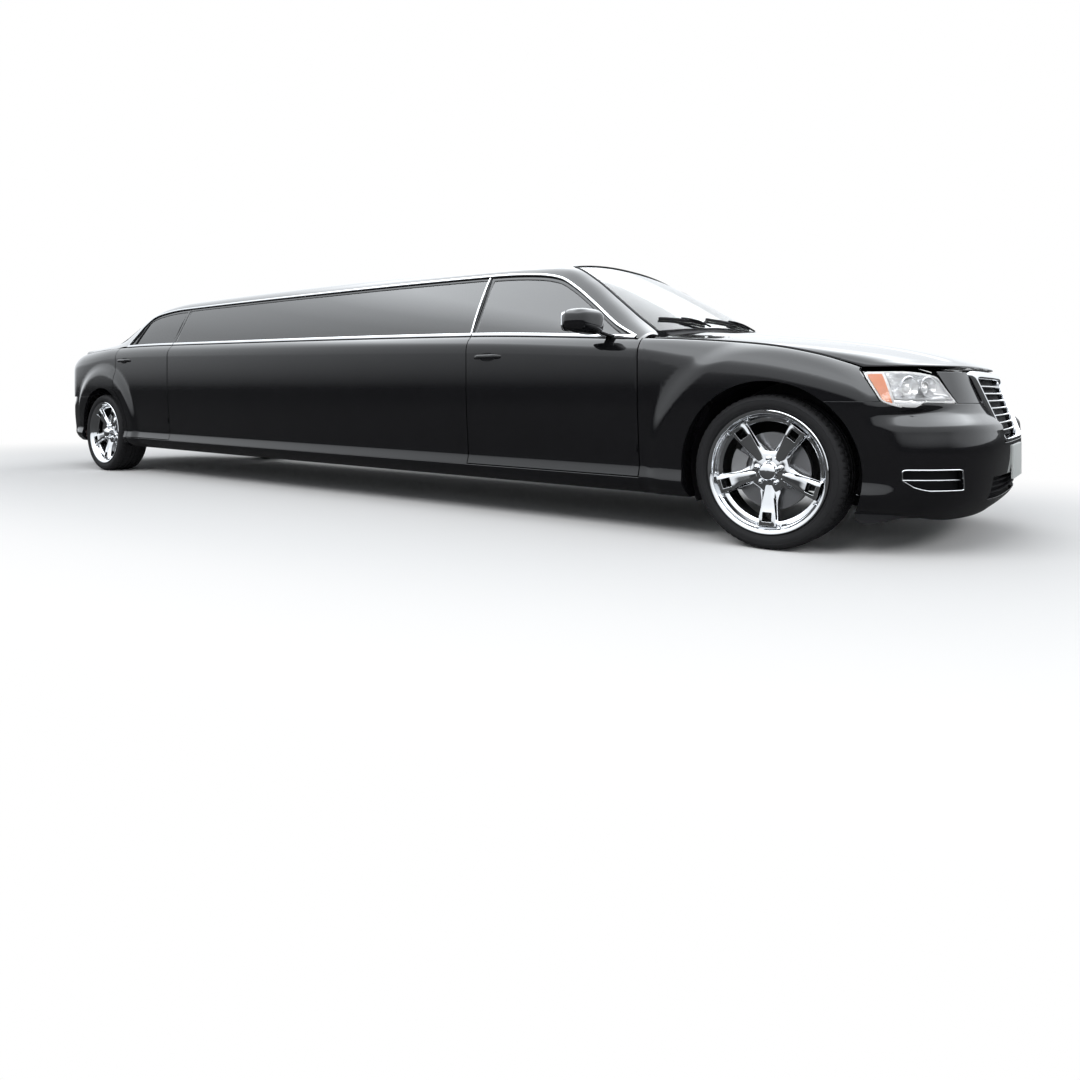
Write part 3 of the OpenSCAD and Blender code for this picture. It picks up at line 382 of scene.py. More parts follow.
def loft(loops: Array, closed: bool = False, capped: bool = True) -> Patch:
    """Skin over closed loops of points set one after another.

    Args:
        loops: stations by points by 3.
        closed: whether the last loop joins the first.
        capped: whether open ends close to their middle point.

    Returns:
        The skin, turned outwards.
    """
    if not closed and capped:
        ends = [np.repeat(loops[i].mean(0)[None, None], loops.shape[1], 1) for i in (0, -1)]
        loops = np.concatenate([ends[0], loops, ends[1]])
    r, c = loops.shape[:2]
    ids = np.arange(r * c).reshape(r, c)
    nxt = np.roll(ids, -1, 1)
    a, b = (ids, nxt) if closed else (ids[:-1], nxt[:-1])
    d, e = (np.roll(ids, -1, 0), np.roll(nxt, -1, 0)) if closed else (ids[1:], nxt[1:])
    return Patch(loops.reshape(-1, 3), np.stack([a, b, e, d], -1).reshape(-1, 4)).outward()


def sweep(path: Array, profile: Array, up: Array | tuple = (0, 0, 1), closed: bool = False) -> Patch:
    """Carries a closed profile along a path.

    Args:
        path: points.
        profile: sideways and upward offsets, a pair for each profile point, or one profile for each path point.
        up: direction that the profile's second offset follows, one or one per point.
        closed: whether the path is a loop.

    Returns:
        The skin.
    """
    ahead = np.roll(path, -1, 0) - np.roll(path, 1, 0) if closed else np.gradient(path, axis=0)
    ahead /= np.linalg.norm(ahead, axis=1, keepdims=True)
    up = np.broadcast_to(np.asarray(up, float), path.shape)
    up = up - (up * ahead).sum(1, keepdims=True) * ahead
    up = up / np.linalg.norm(up, axis=1, keepdims=True)
    side = np.cross(ahead, up)
    prof = np.broadcast_to(profile, (len(path),) + np.shape(profile)[-2:])
    return loft(path[:, None] + prof[..., :1] * side[:, None] + prof[..., 1:] * up[:, None], closed)


def points(x: object, y: object, z: object) -> Array:
    """Points from three coordinates of any matching shapes."""
    return np.stack(np.broadcast_arrays(x, y, z), -1)


def turns(n: int) -> Array:
    """Turns in radians, n even steps round a circle."""
    return np.linspace(0, 2 * np.pi, n, endpoint=False)


def squared(n: int, power: float) -> tuple[Array, ...]:
    """Squared circle of radius 1 by n turns: cosine and sine to the power 2 / power, with their signs kept."""
    return tuple(np.sign(q) * abs(q) ** (2 / power) for q in (np.cos(turns(n)), np.sin(turns(n))))


def disc_profile(a: float, b: float, n: int = 16, power: float = 2.0) -> Array:
    """Closed oval profile with half sizes a and b; a higher power squares it."""
    c, s = squared(n, power)
    return np.c_[a * c, b * s]


def lathe(profile: Array, n: int = 96, ripple: Array | None = None) -> Patch:
    """Turns a closed profile of radius and height about Z.

    Args:
        profile: radius, height pairs, closed.
        n: steps round.
        ripple: radius changes, steps by profile points.

    Returns:
        The ring.
    """
    t = turns(n)[:, None]
    r = profile[None, :, 0] + (0 if ripple is None else ripple) + 0 * t
    return loft(np.stack([r * np.cos(t), r * np.sin(t), profile[None, :, 1] + 0 * r], -1), True)


def pillow(lo: tuple, hi: tuple, power: float = 5.0, channels: int = 0, n: int = 36) -> Patch:
    """Crowned cushion: a squared oval between two corners, with sewn channels across its width.

    Args:
        lo: lowest corner.
        hi: highest corner.
        power: how square it is.
        channels: how many channels run across.
        n: steps of the grid.

    Returns:
        The cushion.
    """
    a, b = np.meshgrid(np.linspace(-np.pi / 2, np.pi / 2, n), turns(2 * n), indexing="ij")
    d = np.stack([np.cos(a) * np.cos(b), np.cos(a) * np.sin(b), np.sin(a)], -1)
    d /= (abs(d) ** power).sum(-1, keepdims=True) ** (1 / power)
    if channels:
        d *= (1 - 0.035 * abs(np.cos(np.pi * channels * (d[..., 1] + 1) / 2)) ** 14)[..., None]
    half, mid = (np.array(hi) - lo) / 2, (np.array(hi) + lo) / 2
    return loft(mid + d * half, capped=False)


def put(name: str, patch: Patch, finish: Finish, body: str = "body", stands_for: tuple = (), bevel: float = 0.0,
        sharp: float = 38.0) -> bpy.types.Object:
    """Makes a piece of the car from a patch.

    Args:
        name: the piece's name.
        patch: its surface in millimetres.
        finish: its finish.
        body: the body that it rides on.
        stands_for: CAD nodes that it replaces.
        bevel: width of rounded edges in millimetres.
        sharp: angle in degrees above which an edge is shaded as an edge.

    Returns:
        The object.
    """
    mesh = bpy.data.meshes.new(name)
    mesh.from_pydata((patch.verts * MM).tolist(), [], patch.faces.tolist())
    b = bmesh.new()
    b.from_mesh(mesh)
    bmesh.ops.remove_doubles(b, verts=b.verts, dist=MERGE)
    b.to_mesh(mesh)
    b.free()
    mesh.shade_smooth()
    if not bevel:
        mesh.set_sharp_from_angle(angle=math.radians(sharp))
    mesh.materials.append(finish.material())
    ob = bpy.data.objects.new(name, mesh)
    bpy.context.scene.collection.objects.link(ob)
    if bevel:
        mod = ob.modifiers.new("edge", "BEVEL")
        mod.width, mod.segments, mod.limit_method = bevel * MM, 2, "ANGLE"
        mod.angle_limit, mod.harden_normals = math.radians(sharp), True
    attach(ob, body)
    if stands_for:
        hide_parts(*stands_for)
    LOG.info("%s on %s, %d faces", name, body, len(mesh.polygons))
    return ob


# Lines of the body
def mix(a: object, b: object, t: object) -> object:
    """Value at share t of the way from a to b."""
    return a + (b - a) * t


def ease(t: object) -> object:
    """Smooth step: 3 t squared less 2 t cubed, held at its ends."""
    c = np.clip(t, 0, 1)
    return c * c * (3 - 2 * c)


def steps(*knots: float, n: int = 8) -> Array:
    """Values through the knots, n steps from each to the next."""
    k = np.array(knots, float)
    return np.append(mix(k[:-1, None], k[1:, None], np.arange(n) / n).ravel(), k[-1])


def along(tab: Array, q: object, col: int = 1) -> Array:
    """Smooth line through a table's rows: cubic pieces whose slopes are those between neighbours.

    Args:
        tab: rows whose first column rises.
        q: where to read it.
        col: which column is read.

    Returns:
        The values.
    """
    x, y = tab[:, 0], tab[:, col]
    q = np.clip(q, x[0], x[-1])
    i = np.clip(np.searchsorted(x, q, side="right") - 1, 0, len(x) - 2)
    k = np.arange(len(x))
    lo, hi = np.maximum(k - 1, 0), np.minimum(k + 1, len(x) - 1)
    m = (y[hi] - y[lo]) / (x[hi] - x[lo])
    h = x[i + 1] - x[i]
    t, a, b, m0, m1 = (q - x[i]) / h, y[i], y[i + 1], m[i] * h, m[i + 1] * h
    return a + t * (m0 + t * (3 * (b - a) - 2 * m0 - m1 + t * (2 * (a - b) + m0 + m1)))


XF, XR, HUB_Z, HALF_W = 3195.0, -2905.0, 340.0, 929.0
TRACK, ARCH_R, WALL, SKIN, SHUT = 1610.0, 398.0, 100.0, 30.0, 6.0
NOSE_REACH, TAIL_REACH, NOSE_N, TAIL_N, FLARE = 850.0, 1140.0, 3.0, 3.3, 22.0
DOOR_F, DOOR_B, REAR_F, REAR_B = XF - 630, XF - 1742, XR + 1112, XR + 236
SEAM_Z, TAIL_SEAM, DOOR_R = 650.0, 660.0, ARCH_R + 52
HOOD_LIP_Z, PLATE_HALF = 788.0, 152.0
MID_X = (XF + XR) / 2
SHOULDER = np.array([
    [XR - 1120, 868], [XR - 1040, 930], [XR - 940, 980], [XR - 780, 1022], [XR - 400, 1066], [XR + 345, 1090],
    [XR + 1112, 1083], [XF - 1742, 1011], [XF - 650, 953], [XF - 300, 928], [XF, 893], [XF + 200, 850],
    [XF + 330, 808], [XF + 420, 772]])
SILL = np.array([[XR - 500, 250], [XR, 238], [XF, 196], [XF + 400, 190]])
TUCK = np.array([[0, 64], [26, 34], [52, 14], [74, 6], [96, 12], [130, 20], [260, 12], [400, 3], [520, 0], [900, 0]])
NOSE = np.array([[150, 110], [205, 50], [270, 18], [360, 4], [440, 0], [520, 4], [540, 6], [554, 12], [586, 42],
                 [600, 54], [640, 73], [712, 97], [790, 122]])
TAIL = np.array([[230, 120], [290, 52], [360, 16], [450, 2], [540, 0], [600, 8], [650, 34], [700, 50], [800, 50],
                 [900, 62], [960, 84], [1060, 130]])
HOOD = np.array([[XF - 480, 1030], [XF - 371, 1016], [XF - 151, 988], [XF + 155, 948], [XF + 345, 917],
                 [XF + 481, 889], [XF + 611, 853], [XF + 694, 822], [XF + 756, 786]])
CROWN = np.array([[XR + 480, 1456], [XR + 700, 1481], [XR + 1200, 1501], [MID_X, 1505], [XF - 2400, 1500],
                  [XF - 1700, 1484], [XF - 1400, 1464], [XF - 1222, 1441]])
DECK = np.array([[XR - 1090, 940], [XR - 1056, 1010], [XR - 1000, 1050], [XR - 850, 1075], [XR - 600, 1100],
                 [XR - 430, 1121]])
RAIL = np.array([
    [XF - 622, 940, XF - 608, 764, 974], [XF - 668, 962, XF - 625, 742, 994], [XF - 795, 1030, XF - 745, 712, 1078],
    [XF - 939, 1134, XF - 890, 674, 1184], [XF - 1105, 1249, XF - 1056, 634, 1304],
    [XF - 1240, 1320, XF - 1222, 606, 1393], [XF - 1457, 1357, XF - 1450, 600, 1414],
    [XF - 1801, 1373, XF - 1801, 600, 1427], [MID_X, 1388, MID_X, 600, 1458],
    [XR + 1021, 1392, XR + 1021, 600, 1463], [XR + 746, 1376, XR + 700, 600, 1447],
    [XR + 574, 1342, XR + 480, 600, 1416], [XR + 477, 1270, XR + 260, 604, 1366], [XR + 421, 1196, XR + 60, 614, 1290],
    [XR + 352, 1102, XR - 150, 634, 1195], [XR + 222, 1095, XR - 262, 652, 1148],
    [XR - 200, 1040, XR - 330, 664, 1122], [XR - 494, 1000, XR - 500, 788, 1086]], float)


class Lines:
    """The surfaces that the panels are cut from, as functions of numpy arrays."""

    RUN = np.append(0, np.cumsum(np.linalg.norm(np.diff(RAIL[:, 2:], axis=0), axis=1)))
    WINDOW = RAIL[14:0:-1, :2]

    @staticmethod
    def plan_y(x: Array) -> Array:
        """Half width at x: straight sides, squared ovals at nose and tail.

        Args:
            x: places along the car.

        Returns:
            The half width.
        """
        def oval(d: Array, reach: float, n: float) -> Array:
            """Share of the half width at distance d into an end."""
            return np.maximum(1 - (np.maximum(d, 0) / reach) ** n, 0) ** (1 / n)
        return HALF_W * np.minimum(oval(x - XF, NOSE_REACH, NOSE_N), oval(XR - x, TAIL_REACH, TAIL_N))

    @staticmethod
    def shoulder(x: Array) -> Array:
        """Height of the side wall's top."""
        return along(SHOULDER, x)

    @staticmethod
    def sill(x: Array) -> Array:
        """Height of the side wall's foot."""
        return along(SILL, x)

    @classmethod
    def side_in(cls, x: Array, z: Array) -> Array:
        """Inset of the side wall: tuck at the foot, round crest, less the flare round each wheel.

        Args:
            x: places along the car.
            z: heights.

        Returns:
            The inset.
        """
        r = 100 + 60 * ease((x - XF + 650) / 400) + 30 * ease((XR + 100 - x) / 500)
        q = np.maximum(0.87 * r - np.maximum(cls.shoulder(x) - z, 0), 0)
        crest = r - np.sqrt(r * r - q * q)
        flare = sum(FLARE * ease((610 - np.hypot(x - a, z - HUB_Z)) / 90) for a in (XF, XR))
        return along(TUCK, z - cls.sill(x)) + crest - flare

    @classmethod
    def side_y(cls, x: Array, z: Array) -> Array:
        """Half width of the side wall at x and z."""
        return cls.plan_y(x) - cls.side_in(x, z)

    @classmethod
    def side(cls, x: Array, z: Array) -> Array:
        """Points on the side wall."""
        x, z = np.broadcast_arrays(x, z)
        return points(x, cls.side_y(x, z), z)

    @classmethod
    def back_y(cls, x: Array) -> Array:
        """Inner face of the side wall."""
        return cls.plan_y(x) - WALL

    @classmethod
    def glass(cls, x: Array, z: Array, deep: float = 0.0) -> Array:
        """Points on the side glass: a slope that bows out by about a thirtieth of its height.

        Args:
            x: places along the car.
            z: heights.
            deep: depth under the glass.

        Returns:
            The points.
        """
        x, z = np.broadcast_arrays(x, z)
        up, high = z - cls.shoulder(x), np.maximum(cls.window_z(x) - cls.shoulder(x), 20)
        f = np.clip(up / high, 0, 1)
        return np.stack([x, HALF_W - 51 - up * 0.5 + 0.13 * high * f * (1 - f) - deep, z], -1)

    @classmethod
    def window_z(cls, x: Array) -> Array:
        """Top of the side windows."""
        return along(cls.WINDOW, x)

    @staticmethod
    def round_end(t: Array, a: float, n: float) -> tuple[Array, Array, Array, Array]:
        """Squared oval by turn t in degrees: its point and its normal.

        Args:
            t: turns.
            a: reach from the axle.
            n: how square it is.

        Returns:
            x, y and both parts of the normal.
        """
        q = np.radians(np.minimum(abs(t), 89.99))
        x, y = a * np.cos(q) ** (2 / n), HALF_W * np.sin(q) ** (2 / n)
        gx, gy = (x / a) ** (n - 1) / a, (y / HALF_W) ** (n - 1) / HALF_W
        g = np.hypot(gx, gy)
        return x, y, gx / g, gy / g

    @staticmethod
    def end_t(d: Array, a: float, n: float) -> Array:
        """Turn at which the end's oval has distance d from the axle."""
        return np.degrees(np.arccos(np.clip(d / a, 0, 1) ** (n / 2)))

    @staticmethod
    def face_t(y: Array, n: float) -> Array:
        """Turn at which the end's oval has half width y."""
        return np.degrees(np.arcsin(np.clip(abs(y) / HALF_W, 0, 1) ** (n / 2))) * np.sign(y)

    @classmethod
    def nose(cls, t: Array, z: Array, more: object = 0.0) -> Array:
        """Points on the nose.

        Args:
            t: turns in degrees.
            z: heights.
            more: depth under the skin.

        Returns:
            The points.
        """
        x, y, nx, ny = cls.round_end(t, NOSE_REACH, NOSE_N)
        k = mix(along(NOSE, z), cls.side_in(XF + x, z), cls.turn_in(t, z)) + more
        return points(XF + x - k * nx, np.sign(t) * (y - k * ny), z)

    @staticmethod
    def turn_in(t: Array, z: Array) -> Array:
        """Share of the side wall's inset in the nose's at turn t; the bumper's ledge runs further round."""
        start = mix(52, 32, ease((z - 592) / 44))
        return ease((abs(t) - start) / (72 - start))

    @classmethod
    def tail(cls, t: Array, z: Array, more: object = 0.0) -> Array:
        """Points on the tail.

        Args:
            t: turns in degrees.
            z: heights.
            more: depth under the skin.

        Returns:
            The points.
        """
        x, y, nx, ny = cls.round_end(t, TAIL_REACH, TAIL_N)
        k = mix(along(TAIL, z), cls.side_in(XR - x, z), ease((abs(t) - 40) / 36)) + more
        return points(XR - x + k * nx, np.sign(t) * (y - k * ny), z)

    @classmethod
    def nose_face(cls, y: Array, z: Array, m: object = 0.0) -> Array:
        """Points on the nose at half width y exactly."""
        p = cls.nose(cls.face_t(np.where(abs(y) < CUT, CUT, y), NOSE_N), z, m)
        return points(p[..., 0], y, z)

    @classmethod
    def tail_face(cls, y: Array, z: Array, m: object = 0.0) -> Array:
        """Points on the tail at half width y exactly."""
        p = cls.tail(cls.face_t(np.where(abs(y) < CUT, CUT, y), TAIL_N), z, m)
        return points(p[..., 0], y, z)

    @staticmethod
    def arch_x(z: Array) -> Array:
        """Distance of the wheel arch's edge from the axle at height z."""
        return np.sqrt(np.maximum(ARCH_R ** 2 - (z - HUB_Z) ** 2, 1))

    @classmethod
    def rail(cls, k: Array, c: int) -> Array:
        """Column c of the rail's stations at station k, on a smooth line by distance run."""
        tab = np.c_[cls.RUN, RAIL]
        return along(tab, np.interp(k, np.arange(len(RAIL)), cls.RUN), c + 1)

    @classmethod
    def rail_low(cls, k: Array) -> Array:
        """Window side edge of the rail.

        Args:
            k: stations.

        Returns:
            The points.
        """
        x = cls.rail(k, 0)
        z = np.where((k >= 1) & (k <= 14), cls.window_z(x), cls.rail(k, 1))
        z = np.maximum(z, cls.shoulder(x) + 0.8)
        y = np.minimum(cls.glass(x, z)[..., 1], cls.side_y(x, cls.shoulder(x)) + 2)
        return points(x, y, z)

    @classmethod
    def rail_top(cls, k: Array) -> Array:
        """Roof side edge of the rail."""
        return np.stack([cls.rail(k, 2), cls.rail(k, 3), cls.rail(k, 4)], -1)

    @staticmethod
    def rear_edge(z: Array, g: float = 0.0) -> Array:
        """Rear edge of the rear door: round the arch, then straight up."""
        return np.maximum(XR + np.sqrt(np.maximum((DOOR_R - g) ** 2 - (z - HUB_Z) ** 2, 0)), REAR_B - g)

    @classmethod
    def lamp_x(cls, z: Array) -> Array:
        """Fender's edge behind the headlamp."""
        return cls.nose(cls.lamp_t(z), z)[..., 0] - 5

    @classmethod
    def lamp_t(cls, z: Array) -> Array:
        """Turn of the headlamp's outer end."""
        return cls.end_t(np.interp(z, [650, 780], [466, 396]), NOSE_REACH, NOSE_N)

    @classmethod
    def tail_x(cls, z: Array) -> Array:
        """Quarter panel's edge ahead of the tail lamp."""
        return cls.tail(cls.end_t(905, TAIL_REACH, TAIL_N), z)[..., 0] + 6


# Sub-assemblies
@dataclass
class SideWalls:
    """Fenders, doors, side panels, sills and quarters, with window frames, glass and bright strips."""

    door_lift: float = 84.0
    panel_lift: float = 78.0
    frame_w: float = 24.0
    frame_deep: float = 44.0
    glass_deep: float = 8.0
    glass_t: float = 5.0
    nose_r: float = 12.0
    rows: Array = field(default_factory=lambda: steps(
        0, 0.06, 0.14, 0.3, 0.48, 0.5234, 0.64, 0.76, 0.86, 0.93, 0.97, 1, n=4))

    def arch_panel(self, xa: float, legs: list[tuple[Array, Array]], ends: tuple) -> Patch:
        """Panel from the wheel arch out to an outline: straight lines from arch points to outline points.

        Args:
            xa: the axle.
            legs: x and z along each leg of the outline.
            ends: turn round the arch, in degrees, where the legs start and end.

        Returns:
            The panel.
        """
        turn = np.degrees(np.concatenate([np.arctan2(z - HUB_Z, x - xa) for x, z in legs])) % 360
        turn = np.where(turn > 270, turn - 360, turn)
        first = np.cumsum([0] + [len(x) for x, _ in legs])
        marks = np.append(turn[first[:-1]], turn[-1])
        order = 1 if marks[-1] > marks[0] else -1
        p = np.radians(np.interp(turn * order, marks * order, ends))
        x, z = (np.concatenate([leg[i] for leg in legs]) for i in (0, 1))
        keep = np.append(True, np.hypot(np.diff(x), np.diff(z)) > CUT)
        p, x, z = p[keep], x[keep], z[keep]
        f = steps(0, 0.12, 0.3, 0.55, 0.78, 0.9, 0.96, 1, n=5)[:, None]
        px, pz = mix(xa + ARCH_R * np.cos(p), x, f), mix(HUB_Z + ARCH_R * np.sin(p), z, f)
        return shell(Lines.side(px, pz), points(px, Lines.back_y(px), pz))

    def fender(self) -> Patch:
        """Front fender, from the door to the headlamp.

        Returns:
            The fender.
        """
        low, seam, x1 = Lines.sill(XF - 500), SEAM_Z + 0.3, float(Lines.lamp_x(np.array(780.0)))
        door_z = np.linspace(low, Lines.shoulder(DOOR_F), 40)
        crest, lamp_z = np.linspace(DOOR_F, x1, 70), np.linspace(Lines.shoulder(x1), seam, 18)
        legs = [(np.full(40, DOOR_F), door_z), (crest, Lines.shoulder(crest)), (Lines.lamp_x(lamp_z), lamp_z)]
        a0, a1 = (math.degrees(math.asin((q - HUB_Z) / ARCH_R)) for q in (low, seam))
        return self.arch_panel(XF, legs, tuple(mix(180 - a0, a1, k) for k in (0, 5 / 17, 14 / 17, 1)))

    def quarter(self) -> Patch:
        """Rear quarter, from the rear door to the tail lamp.

        Returns:
            The quarter.
        """
        low, seam, x1 = Lines.sill(XR + 400), TAIL_SEAM + 0.3, float(Lines.tail_x(np.array(960.0)))
        door_z = np.linspace(low, Lines.shoulder(REAR_B), 60)
        crest, lamp_z = np.linspace(REAR_B - SHUT, x1, 70), np.linspace(Lines.shoulder(x1), seam, 22)
        legs = [(Lines.rear_edge(door_z, SHUT), door_z), (crest, Lines.shoulder(crest)), (Lines.tail_x(lamp_z), lamp_z)]
        a0, a1 = (math.degrees(math.asin((q - HUB_Z) / ARCH_R)) for q in (low, seam))
        top = math.degrees(math.atan2(door_z[-1] - HUB_Z, REAR_B - SHUT - XR))
        return self.arch_panel(XR, legs, (a0, top, mix(top, 180 - a1, 0.82), 180 - a1))

    def wall(self, front: float, back: object, lift: float, hinged: bool, cols: int = 44) -> Patch:
        """Wall below the belt between two edges; a hinged one has a round front edge and an armrest inside.

        Args:
            front: x of the front edge.
            back: x of the rear edge, one for each row or one.
            lift: height of its foot over the sill line.
            hinged: whether it is a door.
            cols: columns.

        Returns:
            The wall.
        """
        f = self.rows[:, None]
        back = np.broadcast_to(np.asarray(back, float).reshape(-1, 1), f.shape)
        d = np.array([0, 0.7, 1.8, 3.5, 6, 9, 12]) / (front - back.min()) if hinged else np.zeros(1)
        u = np.concatenate([d, np.linspace(0.02, 1, cols)])[None]
        x = mix(front, back, u)
        z = mix(Lines.sill(x) + lift, Lines.shoulder(x), f)
        outer = Lines.side(x, z)
        inner = points(x, Lines.back_y(x), z)
        if hinged:
            off = np.clip(self.nose_r - (front - x), 0, self.nose_r)
            edge = np.where(off > 0, HALF_W - self.nose_r + np.sqrt(self.nose_r ** 2 - off ** 2), 2 * HALF_W)
            outer[..., 1] = np.minimum(outer[..., 1], edge)
            rest = ease((u - 0.12) / 0.1) * ease((0.93 - u) / 0.1) * ease((f - 0.42) / 0.1) * ease((0.72 - f) / 0.08)
            inner[..., 1] -= 26 * rest
            inner[..., 0] += 14 * u
        return shell(outer, inner)

    def loop(self, x0: float, x1: float, in0: float, in1: float, low: float, top: float, deep: float,
             n: int = 56) -> Array:
        """Closed line round a window at a depth: along the belt, back along the top.

        Args:
            x0: front edge of the window.
            x1: rear edge.
            in0: distance behind the front edge.
            in1: distance ahead of the rear edge.
            low: height over the shoulder.
            top: distance under the window's top.
            deep: depth under the glass.
            n: points along each edge.

        Returns:
            The points.
        """
        x = np.linspace(x0 - in0, x1 + in1, n)
        z0 = Lines.shoulder(x) + low
        z1 = np.maximum(Lines.window_z(x) - top, z0 + 8)
        return np.concatenate([Lines.glass(x, z0, deep), Lines.glass(x, z1, deep)[::-1]])

    def frame(self, x0: float, x1: float, post0: float, post1: float, gap: float) -> Patch:
        """Frame round a side window.

        Args:
            x0: front edge.
            x1: rear edge.
            post0: width of the front post.
            post1: width of the rear post.
            gap: gap under the roof rail.

        Returns:
            The frame.
        """
        inner, w = (x0, x1, post0, post1, 14), gap + self.frame_w
        return loft(np.stack([
            self.loop(x0, x1, 0, 0, -40, gap, 5), self.loop(x0, x1, 2, 2, -38, gap + 2, 3.5),
            self.loop(x0, x1, post0 - 3, post1 - 3, 11, w - 3, 3.5), self.loop(*inner, w, 5),
            self.loop(*inner, w, self.frame_deep), self.loop(x0, x1, 0, 0, -40, gap, self.frame_deep)]), True)

    def pane(self, x0: float, x1: float, post0: float, post1: float, gap: float) -> Patch:
        """Glass inside a frame.

        Args:
            x0: front edge.
            x1: rear edge.
            post0: width of the front post.
            post1: width of the rear post.
            gap: gap under the roof rail.

        Returns:
            The pane.
        """
        x = np.linspace(x0 - post0 - 0.3, x1 + post1 + 0.3, 56)[None]
        z0 = Lines.shoulder(x) + 14.3
        z1 = np.maximum(Lines.window_z(x) - gap - self.frame_w - 0.3, z0 + 7)
        z = mix(z0, z1, np.linspace(0, 1, 14)[:, None])
        return shell(Lines.glass(x, z, self.glass_deep), Lines.glass(x, z, self.glass_deep + self.glass_t))

    def belt(self, x0: float, x1: float) -> Patch:
        """Bright strip along the foot of the windows."""
        x = np.linspace(x0, x1, 40)
        return sweep(Lines.glass(x, Lines.shoulder(x) + 9, -3.0), disc_profile(10, 5.5, 14, 3), BRIGHT_UP)

    def handle(self, x: float) -> tuple[Patch, Patch]:
        """Pull handle: a bar that bows out from the door, and the dished cup behind it.

        Args:
            x: place of the handle.

        Returns:
            Bar and cup.
        """
        z = float(Lines.shoulder(x + 90)) - 119
        s = np.linspace(0, 1, 36)
        y = Lines.side_y(x + 190 * s, np.full(36, z)) - 4 + 27 * np.minimum(1, np.sin(np.pi * s) * 1.7) ** 0.8
        fat = mix(0.75, 1.0, ease(np.sin(np.pi * s) * 2))[:, None, None]
        bar = sweep(np.c_[x + 190 * s, y, np.full(36, z)], fat * disc_profile(7, 12, 16, 3)[None])
        a, b = np.meshgrid(np.linspace(0, 1, 12), turns(40), indexing="ij")
        cx, cz = x + 95 + a * 62 * np.cos(b), z + a * 24 * np.sin(b)
        cup = Lines.side(cx, cz) + np.stack([0 * a, 1.5 - 1.0 * a, 0 * a], -1)
        return bar, loft(np.concatenate([cup, cup[::-1] - [0, 4, 0]]), True, False)

    def sill(self) -> Patch:
        """Sill strip under the doors.

        Returns:
            The strip.
        """
        x = np.linspace(DOOR_F - 0.3, XR + DOOR_R, 80)[None]
        z = Lines.sill(x) + steps(0, 26, 52, 66, 77.7, n=4)[:, None]
        return shell(Lines.side(x, z), points(x, Lines.back_y(x), z))

    def build(self) -> None:
        """Makes every piece of both sides."""
        put("fender_skins", both(self.fender()), PAINT, stands_for=("fenders",), bevel=2.5)
        put("quarter_skins", both(self.quarter()), PAINT, stands_for=("quarter_panels",), bevel=2.5)
        put("sill_skins", both(self.sill()), PAINT, stands_for=("sills",), bevel=2.5)
        window = (DOOR_B - SHUT / 2, REAR_F, 22, 22, 0.3)
        long_side = join(self.wall(*window[:2], self.panel_lift, False, 70), self.frame(*window))
        put("long_side_skins", both(long_side), PAINT, stands_for=("side_panels",), bevel=1.5)
        put("long_side_glass", both(self.pane(*window)), TINT, stands_for=("side_windows",))
        put("long_belt_strips", both(self.belt(DOOR_B - 4, REAR_F + 1)), CHROME)
        x = np.full(12, DOOR_B - 12)
        z = mix(Lines.shoulder(x) + 14, Lines.window_z(x) - 2, np.linspace(0, 1, 12))
        put("post_strips", both(sweep(Lines.glass(x, z, 1.0), disc_profile(6, 4, 12, 3), BRIGHT_UP)), CHROME)
        rear_back = Lines.rear_edge(mix(Lines.sill(XR + 420) + self.door_lift, Lines.shoulder(XR + 290), self.rows))
        doors = {
            "front": (DOOR_F - SHUT, DOOR_B + SHUT / 2, XF - 672, DOOR_B + SHUT / 2, 44, 26, DOOR_B + SHUT / 2 + 60),
            "rear": (REAR_F - SHUT, rear_back, REAR_F - SHUT, XR + 352, 26, 30, REAR_B + 60)}
        for end, (x0, x1, w0, w1, post0, post1, grip) in doors.items():
            skin = join(self.wall(x0, x1, self.door_lift, True), self.frame(w0, w1, post0, post1, 6))
            bar, cup = self.handle(grip)
            for side, s in SIDES:
                name, body = f"{end}_{side}", f"door_{end}_{side}"
                put(f"door_skin_{name}", skin.on(s), PAINT, body, (body,), 1.5)
                put(f"door_handle_{name}", bar.on(s), PAINT, body)
                put(f"door_cup_{name}", cup.on(s), TRIM, body)
                put(f"door_glass_{name}", self.pane(w0, w1, post0, post1, 6).on(s), TINT, body, (f"glass_{name}",))
                put(f"door_belt_{name}", self.belt(w0 - 2, w1 + 2).on(s), CHROME, body)
        bar_z = np.linspace(0, 1, 14)
        bar_x = mix(XR + 452, XR + 528, bar_z)
        z = mix(Lines.shoulder(bar_x) + 12, Lines.window_z(bar_x) - 26, bar_z)
        divider = sweep(Lines.glass(bar_x, z, 6.0), disc_profile(9, 6, 12, 4), BRIGHT_UP)
        for side, s in SIDES:
            put(f"door_divider_{side}", divider.on(s), TRIM, f"door_rear_{side}")
            self.mirror(side, s)

